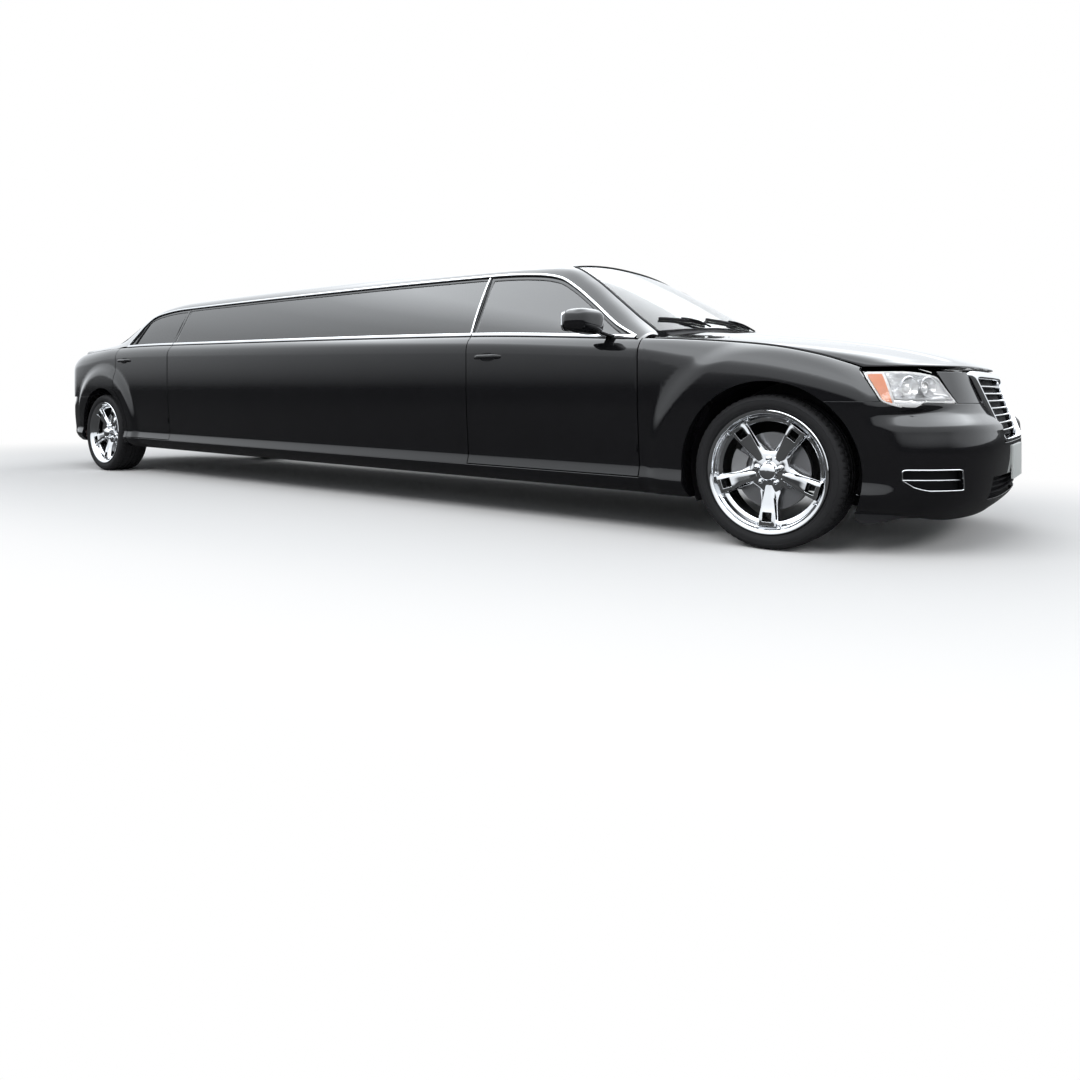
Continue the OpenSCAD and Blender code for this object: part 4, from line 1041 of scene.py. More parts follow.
    def mirror(self, side: str, s: int) -> None:
        """Door mirror: housing, foot and glass.

        Args:
            side: left or right.
            s: 1 on the left, -1 on the right.
        """
        body, x, y, z = f"door_front_{side}", XF - 880, HALF_W + 100, 1035.0
        pod = pillow((x - 62, y - 100, z - 58), (x + 70, y + 104, z + 66), 3.4)
        pod.verts[:, 0] -= 0.12 * (pod.verts[:, 1] - y)
        pod.verts[:, 2] += np.where(pod.verts[:, 2] < z, 0.10 * (pod.verts[:, 1] - y), 0.0)
        low = float(Lines.shoulder(XF - 810))
        t = np.linspace(0, 1, 20)[:, None]
        root = np.array([XF - 812, float(Lines.glass(XF - 812.0, low)[1]) - 3, low + 9])
        path = mix(root, np.array([XF - 850, y - 60, z - 50]), t)
        path[:, 2] = mix(low + 9, z - 46, ease(t[:, 0]))
        foot = sweep(path, disc_profile(27, 8, 18, 3))
        put(f"mirror_pod_{side}", join(pod, foot).on(s), PAINT, body, (f"mirror_{side}",))
        face = pillow((x - 67, y - 84, z - 46), (x - 55, y + 84, z + 50), 6.0, n=24)
        face.verts[:, 0] -= 0.12 * (face.verts[:, 1] - y)
        put(f"mirror_glass_{side}", face.on(s), CHROME, body)


@dataclass
class Top:
    """Roof, pillars, screens, hood, cowl and wipers."""

    roof_t: float = 40.0
    glass_t: float = 5.0
    screen_bow: float = 14.0
    back_bow: float = 40.0

    @staticmethod
    def rail() -> Patch:
        """Pillars and roof rail in one strip, bulged between its two edges.

        Returns:
            The strip.
        """
        k, f = np.linspace(0, 17, 240)[None], np.linspace(0, 1, 13)[:, None]
        a, b = Lines.rail_low(k), Lines.rail_top(k)
        outer = mix(a, b, f[..., None]) + np.array([0, 0.6, 0.8]) * (14 * np.sin(np.pi * f))[..., None]
        thick = mix(14, 40, np.minimum(k, 1))[..., None]
        inner = outer - thick * points(0 * f, np.cos(np.pi / 2 * f), np.sin(np.pi / 2 * f))
        return shell(outer, inner)

    @staticmethod
    def over(k0: float, k1: float, mid: object, thick: float, bow: float = 0.0, rows: int = 50, cols: int = 48,
             span: float = 1.0) -> tuple[Array, Array]:
        """Grid across the car between left and right rail stations.

        Args:
            k0: first station.
            k1: last station.
            mid: function of the share of the way that gives x and z of the middle line.
            thick: thickness.
            bow: extra crown.
            rows: rows.
            cols: columns.
            span: share of the width that is covered.

        Returns:
            Upper and lower grid.
        """
        v, u = np.linspace(0, 1, rows)[:, None], np.linspace(-span, span, cols)[None]
        e, (cx, cz), w = Lines.rail_top(mix(k0, k1, v)), mid(v), abs(u) ** 2.3
        crown = bow * np.sin(np.pi * v) * (1 - w)
        outer = points(mix(cx, e[..., 0], w), u * (e[..., 1] - 0.3), mix(cz, e[..., 2], w) + crown)
        return outer, outer - [0, 0, thick]

    @staticmethod
    def screen_mid(v: Array) -> tuple[Array, Array]:
        """Middle line of the windscreen."""
        return mix(XF - 470, XF - 1222, v), mix(1036, 1441, v)

    @staticmethod
    def back_mid(v: Array) -> tuple[Array, Array]:
        """Middle line of the rear window."""
        return mix(XR + 480, XR - 430, v), mix(1456, 1122, v)

    @staticmethod
    def roof_mid(v: Array) -> tuple[Array, Array]:
        """Middle line of the roof."""
        x = Lines.rail(mix(5, 11, v), 2)
        return x, along(CROWN, x)

    @staticmethod
    def deck_mid(v: Array) -> tuple[Array, Array]:
        """Middle line of the strip ahead of the boot lid."""
        x = mix(XR - 431, XR - 505, v)
        return x, along(DECK, x)

    @staticmethod
    def hood_rear(y: Array) -> Array:
        """Rear edge of the hood at y."""
        return XF - 404 - 196 * (abs(y) / (HALF_W - WALL)) ** 2.6

    def hood(self) -> Patch:
        """Hood: from the cowl to the nose, with a raised middle between two soft creases.

        Returns:
            The hood.
        """
        u, v = np.linspace(-1, 1, 81)[None], steps(0, 0.06, 0.2, 0.4, 0.6, 0.8, 0.9, 0.96, 1, n=6)[:, None]
        t1 = Lines.end_t(394, NOSE_REACH, NOSE_N)
        f, f1 = (Lines.nose(t1 * q, np.array(HOOD_LIP_Z)) for q in (u, np.array(1.0)))
        g = f[..., 1] / f1[1]
        w = abs(g) ** 2.3
        xe, xm = mix(XF - 600, f1[0], v), mix(XF - 404, XF + NOSE_REACH - 121, v)
        x = mix(self.hood_rear(g * (HALF_W - WALL - SHUT)), f[..., 0], v)
        y = g * (Lines.back_y(xe) - SHUT)
        z = np.maximum(mix(along(HOOD, xm), Lines.shoulder(xe) + 10, w), HOOD_LIP_Z - 4 * w)
        dip = ease((abs(y) - mix(560, 395, v)) / 55) * (1 - abs(g) ** 7) * ease(v / 0.1) * ease((1 - v) / 0.06)
        outer = points(x, y, z - 9 * dip)
        return shell(outer, outer - np.stack([0 * x, 0 * x, mix(SKIN, 7, ease((v - 0.7) / 0.26)) + 0 * x], -1))

    @staticmethod
    def cowl() -> Patch:
        """Grained panel between hood and windscreen.

        Returns:
            The panel.
        """
        u, v = np.linspace(-1, 1, 60)[None], np.linspace(0, 1, 8)[:, None]
        wr, wf = abs(u * 700 / 742) ** 2.3, abs(u * 0.85) ** 2.3
        x = mix(Top.hood_rear(u * 700) - 10, mix(XF - 468, XF - 623, wr), v)
        z = mix(mix(1004, 950, wf), mix(1032, 990, wr), v) - 5 * np.sin(np.pi * v)
        outer = points(x, u * 700, z)
        inner = outer.copy()
        inner[..., 2] = 900.3
        return shell(outer, inner)

    def wiper(self, u0: float, u1: float, v1: float) -> Patch:
        """Wiper: an arm from the cowl and a blade that lies on the glass.

        Args:
            u0: place of the pivot across the screen.
            u1: place of the blade's tip.
            v1: height of the tip as a share of the screen.

        Returns:
            Arm and blade.
        """
        grid, _ = self.over(1, 5, self.screen_mid, 5, self.screen_bow, 60, 121)
        s = np.linspace(0, 1, 30)

        def on_glass(u: Array, v: Array, lift: float) -> Array:
            """Points over the screen at share u across and v up."""
            return grid[np.clip((v * 59).round().astype(int), 0, 59), ((u + 1) * 60).round().astype(int)] + [0, 0, lift]
        blade = on_glass(mix(mix(u0, u1, 0.15), u1, s), mix(0.04, v1, s), 9.0)
        fit = np.polynomial.polynomial
        blade = np.stack([fit.polyval(s, fit.polyfit(s, blade[:, i], 3)) for i in range(3)], -1)
        rise = np.c_[0 * s, 0 * s, 10 * np.sin(np.pi * s)]
        arm = mix(blade[0] + [30, 0, -16], blade[15] + [0, 0, 12], s[:, None]) + rise
        return join(sweep(blade, disc_profile(5, 8, 12, 3)), sweep(arm, disc_profile(7, 4, 12, 3)))

    def build(self) -> None:
        """Makes every piece."""
        put("pillar_rails", both(self.rail()), PAINT, stands_for=("roof_rails",), bevel=2.0)
        roof = shell(*self.over(5, 11, self.roof_mid, self.roof_t, rows=110))
        put("roof_skin", roof, PAINT, stands_for=("roof",), bevel=2.0)
        deck = shell(*self.over(16, 17, self.deck_mid, SKIN, rows=10))
        put("deck_strip", deck, PAINT, stands_for=("rear_deck",), bevel=2.0)
        screens = {"front": (1, 5, self.screen_mid, self.screen_bow), "back": (11, 16, self.back_mid, self.back_bow)}
        panes = {"front": (CLEAR, "windscreen"), "back": (TINT, "rear_window")}
        for name, (k0, k1, mid, bow) in screens.items():
            finish, node = panes[name]
            put(f"{name}_screen", shell(*self.over(k0, k1, mid, self.glass_t, bow)), finish, stands_for=(node,))
        top = Lines.rail_low(np.linspace(1.0, 13.95, 220)) + [0, 3.5, 3]
        put("window_top_strips", both(sweep(top, disc_profile(7, 5, 14, 3), BRIGHT_UP)), CHROME)
        for name, (k0, k1, mid, bow) in screens.items():
            grid, _ = self.over(k0, k1, mid, 5, bow, 60, 60, 0.992)
            ring = np.concatenate([grid[0], grid[1:-1, -1], grid[-1, ::-1], grid[-2:0:-1, 0]]) + [0, 0, 1.0]
            put(f"{name}_screen_seal", sweep(ring, disc_profile(9, 2.5, 10, 3), closed=True), TRIM)
        put("hood_skin", self.hood(), PAINT, "hood", ("hood",), 2.5)
        put("cowl_panel", self.cowl(), TRIM, stands_for=("cowl",), bevel=2.0)
        put("wipers", join(self.wiper(0.30, -0.42, 0.10), self.wiper(-0.46, -0.88, 0.16)), TRIM)


@dataclass
class Nose:
    """Front bumper, grille, headlamps, nose panels, side intakes and plate."""

    grille_low: float = 470.3
    grille_top: float = 784.0
    bars: int = 7
    slot_y: float = 440.0
    intake: tuple[float, float] = (664.0, 842.0)
    intake_z: tuple[float, float] = (286.0, 372.0)
    slot_z: tuple[float, float] = (232.0, 330.0)

    @staticmethod
    def half(z: Array) -> Array:
        """Half width of the grille's opening at height z."""
        return mix(300, 402, (np.maximum(z, 470) - 470) / 330)

    def at(self, s: Array, z0: Array, more: object = 0.0) -> Array:
        """Bumper point by column s, from 0 in the middle to 5 at the arch, and row height z0.

        Whole columns are the edges of grille, lower slot and side intake, and heights slide up towards the arch.

        Args:
            s: columns.
            z0: row heights at the middle.
            more: depth under the skin.

        Returns:
            The points.
        """
        def turn(z: Array) -> Array:
            """Turn of column s at height z, by straight steps between the whole columns.

            Args:
                z: heights.

            Returns:
                The turn in degrees.
            """
            halves = (self.half(z) + 0.22 * along(NOSE, z), 0 * z + self.slot_y, self.intake[0] + 0.2 * (z - 374),
                      self.intake[1] - 60 * np.clip((332 - z) / 46, 0, 1) ** 2.2)
            marks = [0 * z, *(Lines.face_t(q, NOSE_N) for q in halves)]
            marks.append(Lines.end_t(Lines.arch_x(z), NOSE_REACH, NOSE_N))
            a, out = abs(s), 0 * z + 0 * s
            for i in range(5):
                out = out + (marks[i + 1] - marks[i]) * np.clip(a - i, 0, 1)
            return out * np.sign(s)
        t, end = turn(z0), Lines.end_t(Lines.arch_x(z0), NOSE_REACH, NOSE_N)
        w = ease((abs(t) / end - 0.42) / 0.5)
        z = mix(z0, np.interp(z0, [150, 212, 440, 640], [184, 214, 440, SEAM_Z]), w)
        t = turn(z)
        return Lines.nose(np.where(abs(t) < CUT, CUT, t), z, more)

    def bumper(self) -> Patch:
        """Front bumper with openings for grille, lower slot and side intakes.

        Returns:
            The bumper.
        """
        z0 = steps(150, 178, 212, self.slot_z[0], self.intake_z[0], self.slot_z[1], self.intake_z[1], 420, 470, 520,
                   540, 554, 586, 605, 640, n=4)
        s = steps(0, 1, 2, 3, 4, 5, n=9)
        s = np.concatenate([-s[:0:-1], s])
        cz, cs = ((a[1:] + a[:-1])[:, None] / 2 for a in (z0, s))
        a = abs(cs).T
        holes = ((cz > 470) & (a < 1)) | ((cz > self.slot_z[0]) & (cz < self.slot_z[1]) & (a < 2))
        holes |= (cz > self.intake_z[0]) & (cz < self.intake_z[1]) & (a > 3) & (a < 4)
        return shell(self.at(s[None], z0[:, None]), self.at(s[None], z0[:, None], SKIN), ~holes)

    def face(self, y: Array, z: Array, deep: float) -> Array:
        """Points on the grille's face, a straight slope from the bumper to the hood, deep under it."""
        slope = mix(4, 112, (z - self.grille_low) / (self.grille_top - self.grille_low))
        return Lines.nose_face(y, z, np.maximum(deep + slope, 1) - along(NOSE, z))

    def ring(self, e: float, deep: float, n: int = 160) -> Array:
        """Closed line round the grille: a squared oval stretched to the opening.

        Args:
            e: distance inside the opening's edge.
            deep: depth under the face.
            n: points.

        Returns:
            The points.
        """
        a, b = squared(n, 16)
        z = mix(self.grille_low + 0.4 * e, self.grille_top - e, (b + 1) / 2)
        return self.face(a * (self.half(z) - 0.4 - 0.38 * e), z, deep)

    def grille(self) -> None:
        """Bright frame and bars of the grille, with dark mesh behind."""
        rim = [(0, 40), (0, 14), (1, 3), (5, -5), (12, -9), (22, -10), (30, -8), (36, -2), (39, 8), (40, 40)]
        border = loft(np.stack([self.ring(e, d) for e, d in rim]), True)
        put("grille_frame", border, CHROME, stands_for=("grille",), sharp=50)
        u, bars = np.linspace(-1, 1, 50), []
        for i in range(1, self.bars + 1):
            z = mix(self.grille_low + 16, self.grille_top - 38, i / (self.bars + 1)) + 0 * u
            bars.append(sweep(self.face(u * (self.half(z) - 14), z, 14.0), disc_profile(12, 6, 14, 3)))
        put("grille_bars", join(*bars), CHROME)
        a, b = np.linspace(-1, 1, 24)[None], np.linspace(0, 1, 16)[:, None]
        z = mix(self.grille_low + 20, self.grille_top - 20, b)
        back = [self.face(a * (self.half(z) - 20), z, d) for d in (34.0, 39.0)]
        put("grille_mesh", shell(*back), VOID)

    def intakes(self) -> None:
        """Dark mesh, bright rings and bars of the lower openings, and the bare plate."""
        s, z = np.linspace(-2.15, 2.15, 40)[None], np.linspace(self.slot_z[0] - 8, self.slot_z[1] + 8, 8)[:, None]
        mesh = [shell(self.at(s, z, SKIN + 1), self.at(s, z, SKIN + 7))]
        s, z = np.linspace(2.94, 4.06, 24)[None], np.linspace(self.intake_z[0] - 8, self.intake_z[1] + 8, 8)[:, None]
        mesh.append(both(shell(self.at(s, z, SKIN + 1), self.at(s, z, SKIN + 7))))
        s = np.linspace(-1.98, 1.98, 60)
        slats = [sweep(self.at(s, q + 0 * s, 20.0), disc_profile(10, 3, 10)) for q in (256, 281, 306)]
        put("intake_mesh", join(*mesh, *slats), VOID)
        a, b = squared(120, 14)
        ring = self.at(3.5 + a * 0.5, mix(*self.intake_z, (b + 1) / 2), -1.0)
        bar = self.at(np.linspace(3.02, 3.98, 30), np.full(30, sum(self.intake_z) / 2), 12.0)
        out = (0.8, 0.6, 0)
        trims = join(sweep(ring, disc_profile(3, 3, 12), out, True), sweep(bar, disc_profile(3.5, 4, 12), out))
        put("intake_rings", both(trims), CHROME)
        s, v = np.linspace(5, 3.9, 24)[None], np.linspace(0, 1, 5)[:, None]
        drop = np.interp(s, [3.9, 4.3, 4.75, 4.9, 5], [0.5, 10, 40, 40, 20]) * v
        lip = [self.at(s, 150 + 0 * v, 3 + m + 6 * v) - np.stack([0 * drop, 0 * drop, drop], -1) for m in (0, 8)]
        put("bumper_spats", both(shell(*lip)), TRIM)
        y, z = np.linspace(-PLATE_HALF, PLATE_HALF, 20)[None], np.linspace(300, 452, 12)[:, None]
        faces = [Lines.nose_face(y, z, d)[..., 0].max() - back for d, back in ((-6.0, 0), (-0.5, 6))]
        put("front_plate", shell(*(points(x, y, z) for x in faces)), PLATE, bevel=2.0)

    def lamp(self, u: Array, f: Array, more: object = 0.0) -> Array:
        """Points on the headlamp, whose foot has a lobe.

        Args:
            u: share of the way from the inner to the outer end.
            f: share of the way from the foot to the top.
            more: depth under the skin.

        Returns:
            The points.
        """
        t0 = Lines.end_t(mix(760, 712, f), NOSE_REACH, NOSE_N)
        t = mix(t0, Lines.lamp_t(mix(650, 774, f)), u)
        lobe = 27 * ease((u - 0.50) / 0.16) * (1 - 0.9 * np.clip((u - 0.7) / 0.3, 0, 1) ** 2)
        low = mix(640, SEAM_Z, ease((t - 32) / 40)) + 1.5 - lobe
        corner = 23 * (1 - np.minimum(u / 0.55, 1)) ** 1.8
        return Lines.nose(t, mix(low + 4 * (1 - np.minimum(u / 0.06, 1)) ** 2, 774 - corner, f), more)

    def headlamps(self) -> None:
        """Clear lens over a bright bowl, two lamps in it, amber strip at its outer end."""
        u, f = np.linspace(0, 1, 60)[None], np.linspace(0, 1, 26)[:, None]
        lens = shell(self.lamp(u, f, -1.5), self.lamp(u, f, 2.5))
        put("headlamp_lenses", both(lens), LENS, stands_for=("headlamps",), bevel=1.0)
        inner = mix(0.86, 0.78, f)
        fin, gin = mix(0.03, 0.97, f), mix(0.01, inner, u)
        z = self.lamp(gin, fin)[..., 2]
        hollow = 46 * ease((z - 653) / 26) * ease((768 - z) / 22) * np.sin(np.pi * u) ** 0.5 - 0.6
        put("headlamp_bowls", both(shell(self.lamp(gin, fin, hollow), self.lamp(gin, fin, hollow + 8))), BOWL)
        ua = mix(mix(0.885, 0.81, f), 0.972, np.linspace(0, 1, 14)[None])
        fa = mix(0.05, 0.93, f)
        put("headlamp_amber", both(shell(self.lamp(ua, fa, -0.4), self.lamp(ua, fa, 9.0))), AMBER, bevel=1.0)
        ub = mix(inner, mix(0.885, 0.81, f), np.linspace(0, 1, 8)[None])
        a, b = squared(160, 14)
        band = [((1.0, 1.0), 5.0), ((1.0, 1.0), -0.7), ((0.965, 0.86), -0.7), ((0.955, 0.83), 5.0)]
        rim = loft(np.stack([self.lamp((a * k + 1) / 2, (b * q + 1) / 2, d) for (k, q), d in band]), True)
        put("headlamp_rims", both(join(rim, shell(self.lamp(ub, fin, -0.6), self.lamp(ub, fin, 8.0)))), LAMP_EDGE)
        cups, eyes, aim = [], [], np.array([0.86, 0.5, 0.0])
        for u0, r in ((0.30, 40.0), (0.60, 46.0)):
            c = self.lamp(np.array(u0), np.array(0.53), 22.0)
            cup = np.array([[r, 6], [r + 3, 10], [r, 12], [r * 0.9, 4], [r * 0.55, -26], [0.02, -32], [0.02, -36],
                            [r * 0.6, -30], [r * 0.95, 0]])
            cups.append(self.aimed(lathe(cup, 48), c, aim))
            q = np.linspace(0, np.pi / 2, 10)
            eye = np.c_[np.append(r * 0.52 * np.cos(q), 0.02), np.append(r * 0.34 * np.sin(q) - 12, -20)]
            eyes.append(self.aimed(lathe(np.vstack([[r * 0.52, -20], eye]), 40), c, aim))
        put("headlamp_cups", both(join(*cups)), BOWL)
        put("headlamp_eyes", both(join(*eyes)), LENS)

    @staticmethod
    def aimed(patch: Patch, centre: Array, aim: Array) -> Patch:
        """Turns a patch made along Z so that it points along aim, and moves it to the centre.

        Args:
            patch: the patch.
            centre: where it goes.
            aim: where it points.

        Returns:
            The patch in its place.
        """
        aim = aim / np.linalg.norm(aim)
        side = np.cross([0, 0, 1.0], aim)
        side /= np.linalg.norm(side)
        return Patch(patch.verts @ np.stack([side, np.cross(aim, side), aim]) + centre, patch.faces)

    def build(self) -> None:
        """Makes every piece."""
        put("front_bumper_skin", self.bumper(), PAINT, stands_for=("front_bumper",), bevel=2.0)
        self.grille()
        self.intakes()
        self.headlamps()
        z, u = np.linspace(SEAM_Z - 9, 774, 24)[:, None], np.linspace(0, 1, 24)[None]
        t0 = Lines.face_t(self.half(z) + 6 + 0.27 * (along(NOSE, z) + SKIN), NOSE_N)
        t = mix(t0, Lines.end_t(np.interp(z, [640, 777], [760, 712]) + 4, NOSE_REACH, NOSE_N), u)
        panel = shell(Lines.nose(t, z), Lines.nose(t, z, SKIN))
        put("nose_skins", both(panel), PAINT, stands_for=("nose_panels",), bevel=1.5)


@dataclass
class Tail:
    """Rear bumper, tail lamps, boot lid and bare plate."""

    face_half: float = 588.0
    lamp_top: float = 968.0

    @staticmethod
    def bumper() -> Patch:
        """Rear bumper, round from arch to arch.

        Returns:
            The bumper.
        """
        u = np.linspace(-1, 1, 101)[None]
        z0 = steps(232, 258, 300, 360, 450, 540, 600, 632, 650, 660, n=4)[:, None]
        w = ease((abs(u) - 0.5) / 0.45)
        z = mix(z0, np.interp(z0, [232, 300, 660], [256, 305, TAIL_SEAM]), w)
        t = u * Lines.end_t(Lines.arch_x(z), TAIL_REACH, TAIL_N)
        t = np.where(abs(t) < CUT, CUT, t)
        return shell(Lines.tail(t, z), Lines.tail(t, z, SKIN))

    def lid(self) -> Patch:
        """Boot lid: top from the deck strip to the lip, then down the tail's face, in one skin.

        Returns:
            The lid.
        """
        u, v = np.linspace(-1, 1, 71)[None], steps(0, 0.2, 0.45, 0.7, 0.88, 0.96, 1, n=6)[:, None]
        w = abs(u) ** 2.3
        xm, xe = mix(XR - 528, XR - 1052, v), mix(XR - 528, XR - 880, v)
        high = mix(along(DECK, xm), Lines.shoulder(xe) + 12, w)
        top = points(mix(xm, xe, w), u * (Lines.back_y(xe) - SHUT), high)
        z = steps(1000, 975, 920, 840, 760, 670, n=6)[:, None]
        face = Lines.tail_face(u * self.face_half, z)
        outer = np.concatenate([top, face])
        under = np.concatenate([top - [0, 0, SKIN], Lines.tail_face(u * self.face_half, z, SKIN)])
        under[:len(top)][..., 0] += 30 * ease((v - 0.9) / 0.1)
        return shell(outer, under)

    def lamps(self) -> None:
        """Red lens with a bright ring and a pale strip for reversing."""
        t1 = Lines.end_t(905, TAIL_REACH, TAIL_N)

        def at(u: Array, f: Array, more: float) -> Array:
            """Lamp point: u from the inner to the outer end, f from foot to top."""
            t = mix(Lines.face_t(np.array(664.0), TAIL_N), t1, u)
            return Lines.tail(t, mix(TAIL_SEAM + 1, self.lamp_top, f), more)
        u, f = np.linspace(0, 1, 40)[None], np.linspace(0, 1, 30)[:, None]
        put("tail_lamp_lenses", both(shell(at(u, f, 0.0), at(u, f, 45.0))), RED, stands_for=("tail_lamps",), bevel=2.0)
        a, b = squared(120, 9)
        ring = at((a * 0.80 + 1) / 2, (b * 0.9 + 1) / 2, -1.5)
        put("tail_lamp_rings", both(sweep(ring, disc_profile(5, 4, 12), (-0.85, 0.5, 0), True)), CHROME)
        us, fs = mix(0.16, 0.84, u), np.linspace(0.13, 0.24, 10)[:, None]
        put("reverse_lamps", both(shell(at(us, fs, -2.0), at(us, fs, 6.0))), LENS, bevel=1.0)

    def build(self) -> None:
        """Makes every piece."""
        put("rear_bumper_skin", self.bumper(), PAINT, stands_for=("rear_bumper",), bevel=2.0)
        put("boot_skin", self.lid(), PAINT, "boot_lid", ("boot_lid",), 2.0)
        self.lamps()
        y, z = np.linspace(-PLATE_HALF, PLATE_HALF, 20)[None], np.linspace(684, 836, 12)[:, None]
        flat = [points(XR - TAIL_REACH + d, y, z) for d in (41.0, 47.0)]
        put("rear_plate", shell(*flat), PLATE, "boot_lid", bevel=2.0)
        x = XR - TAIL_REACH + 50
        bar = np.c_[np.full(40, x - 8), np.linspace(-330, 330, 40), np.full(40, 862)]
        put("boot_grip", sweep(bar, disc_profile(12, 11, 16, 3), (-1, 0, 0)), CHROME, "boot_lid")


@dataclass
class Wheel:
    """One wheel: bright five spoke rim and treaded tyre, made flat with Z outboard, then stood up."""

    name: str
    x: float
    side: int
    rim_r: float = 272.0
    tyre_r: float = 340.0
    tyre_w: float = 245.0
    spokes: int = 5

    def stand(self, p: Patch) -> Patch:
        """Turns a flat patch upright and carries it to its hub.

        Args:
            p: the patch.

        Returns:
            The patch in its place.
        """
        v = p.verts
        up = np.c_[self.x + v[:, 0], TRACK / 2 + v[:, 2], HUB_Z - v[:, 1]]
        return Patch(up, p.faces).on(self.side)

    @staticmethod
    def turned(p: Patch, degrees: float) -> Patch:
        """The patch turned about Z."""
        c, s = math.cos(math.radians(degrees)), math.sin(math.radians(degrees))
        return Patch(p.verts @ np.array([[c, s, 0], [-s, c, 0], [0, 0, 1.0]]), p.faces)

    def barrel(self) -> Patch:
        """Stepped lip and barrel of the rim.

        Returns:
            The barrel.
        """
        r = self.rim_r
        return lathe(np.array([
            [r - 14, -104], [r, -106], [r, -118], [r - 10, -118], [r - 26, -104], [r - 30, 34], [r - 34, 46],
            [r - 46, 50], [r - 50, 54], [r - 51, 62], [r - 46, 67], [r - 36, 70], [r - 33, 76], [r - 30, 88],
            [r - 26, 94], [r - 21, 98], [r - 19, 108], [r - 15, 114], [r - 8, 118], [r - 3, 118.5], [r, 116],
            [r, 106], [r - 14, 104]]), 128)

    def spoke(self) -> Patch:
        """One spoke: flares towards the rim, raised flat between two grooves, square hole near its end.

        Returns:
            The spoke.
        """
        r = steps(60, 178, 219, 236, n=10)
        raised = np.interp(r, [60, 110, 172, 200, 236], [13, 22, 33, 37, 39])
        skirt = np.interp(r, [60, 92, 112, 135, 160, 200, 236], [50, 46, 40, 36, 38, 42, 44])
        k = steps(-3, -2, -1, 1, 2, 3, n=4)
        a = abs(k)[None]
        marks = np.stack([0 * r, np.minimum(21.0, raised * 0.6), raised, np.maximum(skirt, raised + 3)])
        y = sum((marks[i + 1] - marks[i])[:, None] * np.clip(a - i, 0, 1) for i in range(3)) * np.sign(k)[None]
        ridge = np.interp(r, [60, 80, 180, 236], [72, 74, 92, 101])[:, None]
        drop = np.where(a <= 2, 1.5 * ease(a - 1), 1.5 + 15 * ease((a - 2) * 1.6) + 3 * np.clip(a - 2, 0, 1))
        frame_up = 4 * np.exp(-((r[:, None] - 198.5) / 32.0) ** 4) * ease((2.0 - a) * 1.5)
        z = ridge - drop + frame_up
        z = np.maximum(z - 12 * ease((112 - r) / 60)[:, None] * ease(a - 2), 54)
        x = np.broadcast_to(r[:, None], y.shape)
        top = points(x, y, z)
        low = points(x, y * 0.96, np.clip(z - 8, 50, 58))
        mid_r, mid_k = (r[1:] + r[:-1])[:, None] / 2, abs(k[1:] + k[:-1])[None] / 2
        return shell(top, low, ~((mid_r > 178) & (mid_r < 219) & (mid_k < 1)))

    def hub(self) -> Patch:
        """Hub disc with the webs between the spokes, a plain dome and five nuts.

        Returns:
            The hub.
        """
        t = turns(200)[None]
        scallop = 0.5 - 0.5 * np.cos(5 * (t - math.radians(90)))
        edge = 96 - 8 * scallop ** 2
        share = np.array([0.0, 0.3, 0.5, 0.62, 0.8, 0.94, 1.0, 1.0, 0.9, 0.0])[:, None]
        high = np.array([74, 74, 73, 71, 69, 67, 63, 56, 52, 52.0])[:, None] + 0 * t
        disc = loft(np.stack([share * edge * np.cos(t), share * edge * np.sin(t), high], -1), capped=False)
        dome = np.array([[0.02, 110], [12, 109.6], [24, 107.5], [33, 103], [39, 96], [42, 89], [44, 82], [44, 66],
                         [0.02, 66]])
        nut = np.array([[0.02, 92], [6, 91.5], [9.5, 88], [10, 84], [10, 74], [14, 73], [14, 66], [0.02, 66]])
        nuts = [lathe(nut, 24) for _ in range(self.spokes)]
        for i, n in enumerate(nuts):
            a = math.radians(90 + 36 + 72 * i)
            n.verts += [57 * math.cos(a), 57 * math.sin(a), 0]
        return join(disc, lathe(dome, 64), *nuts)

    def studs(self) -> Patch:
        """Pairs of small bolts where each spoke meets the lip.

        Returns:
            The bolts.
        """
        bolt = lathe(np.array([[0.02, 96], [4, 95], [5, 92], [5, 80], [0.02, 80]]), 14)
        out = []
        for i in range(self.spokes):
            for d in (-13.5, 13.5):
                a = math.radians(90 + 72 * i + d)
                out.append(Patch(bolt.verts + [238 * math.cos(a), 238 * math.sin(a), 0], bolt.faces))
        return join(*out)

    def tyre(self) -> Patch:
        """Tyre: bulged sidewall with fine rings, four grooves round and slanted cuts in the tread.

        Returns:
            The tyre.
        """
        h, r, k = self.tyre_w / 2, self.tyre_r, self.rim_r
        wall = np.array([
            [k - 13.7, 103.5], [k + 1, 105], [k + 4, 110], [k + 7, h - 7], [k + 10, h - 5], [k + 13, h - 3.5],
            [k + 14, h - 4.6], [k + 16, h - 3], [k + 24, h - 0.6], [k + 32, h], [k + 40, h - 1.0], [k + 41, h - 2.2],
            [k + 43, h - 1.4], [k + 50, h - 4.4], [r - 10, h - 11], [r - 5, h - 19]])
        z = np.array([h - 27, h - 36, 70, 69, 61, 60, 40, 22, 21, 12, 11])
        deep = np.array([0, 0, 0, 7, 7, 0, 0, 0, 7, 7, 0])
        tread = np.c_[r - 2.2 * np.clip((abs(z) - 50) / 45, 0, 1) ** 2 - deep, z]
        half = np.vstack([wall, tread])
        prof = np.vstack([half, (half * [1, -1])[::-1]])
        n = 264
        t = np.arange(n)[:, None] / n
        pr, pz = prof[None, :, 0], prof[None, :, 1]
        cut = ((t * 66 + pz * 0.012) % 1.0 < 0.25) & (pr > r - 6) & (abs(pz) > 22)
        return lathe(prof, n, np.where(cut, -5.0, 0.0))

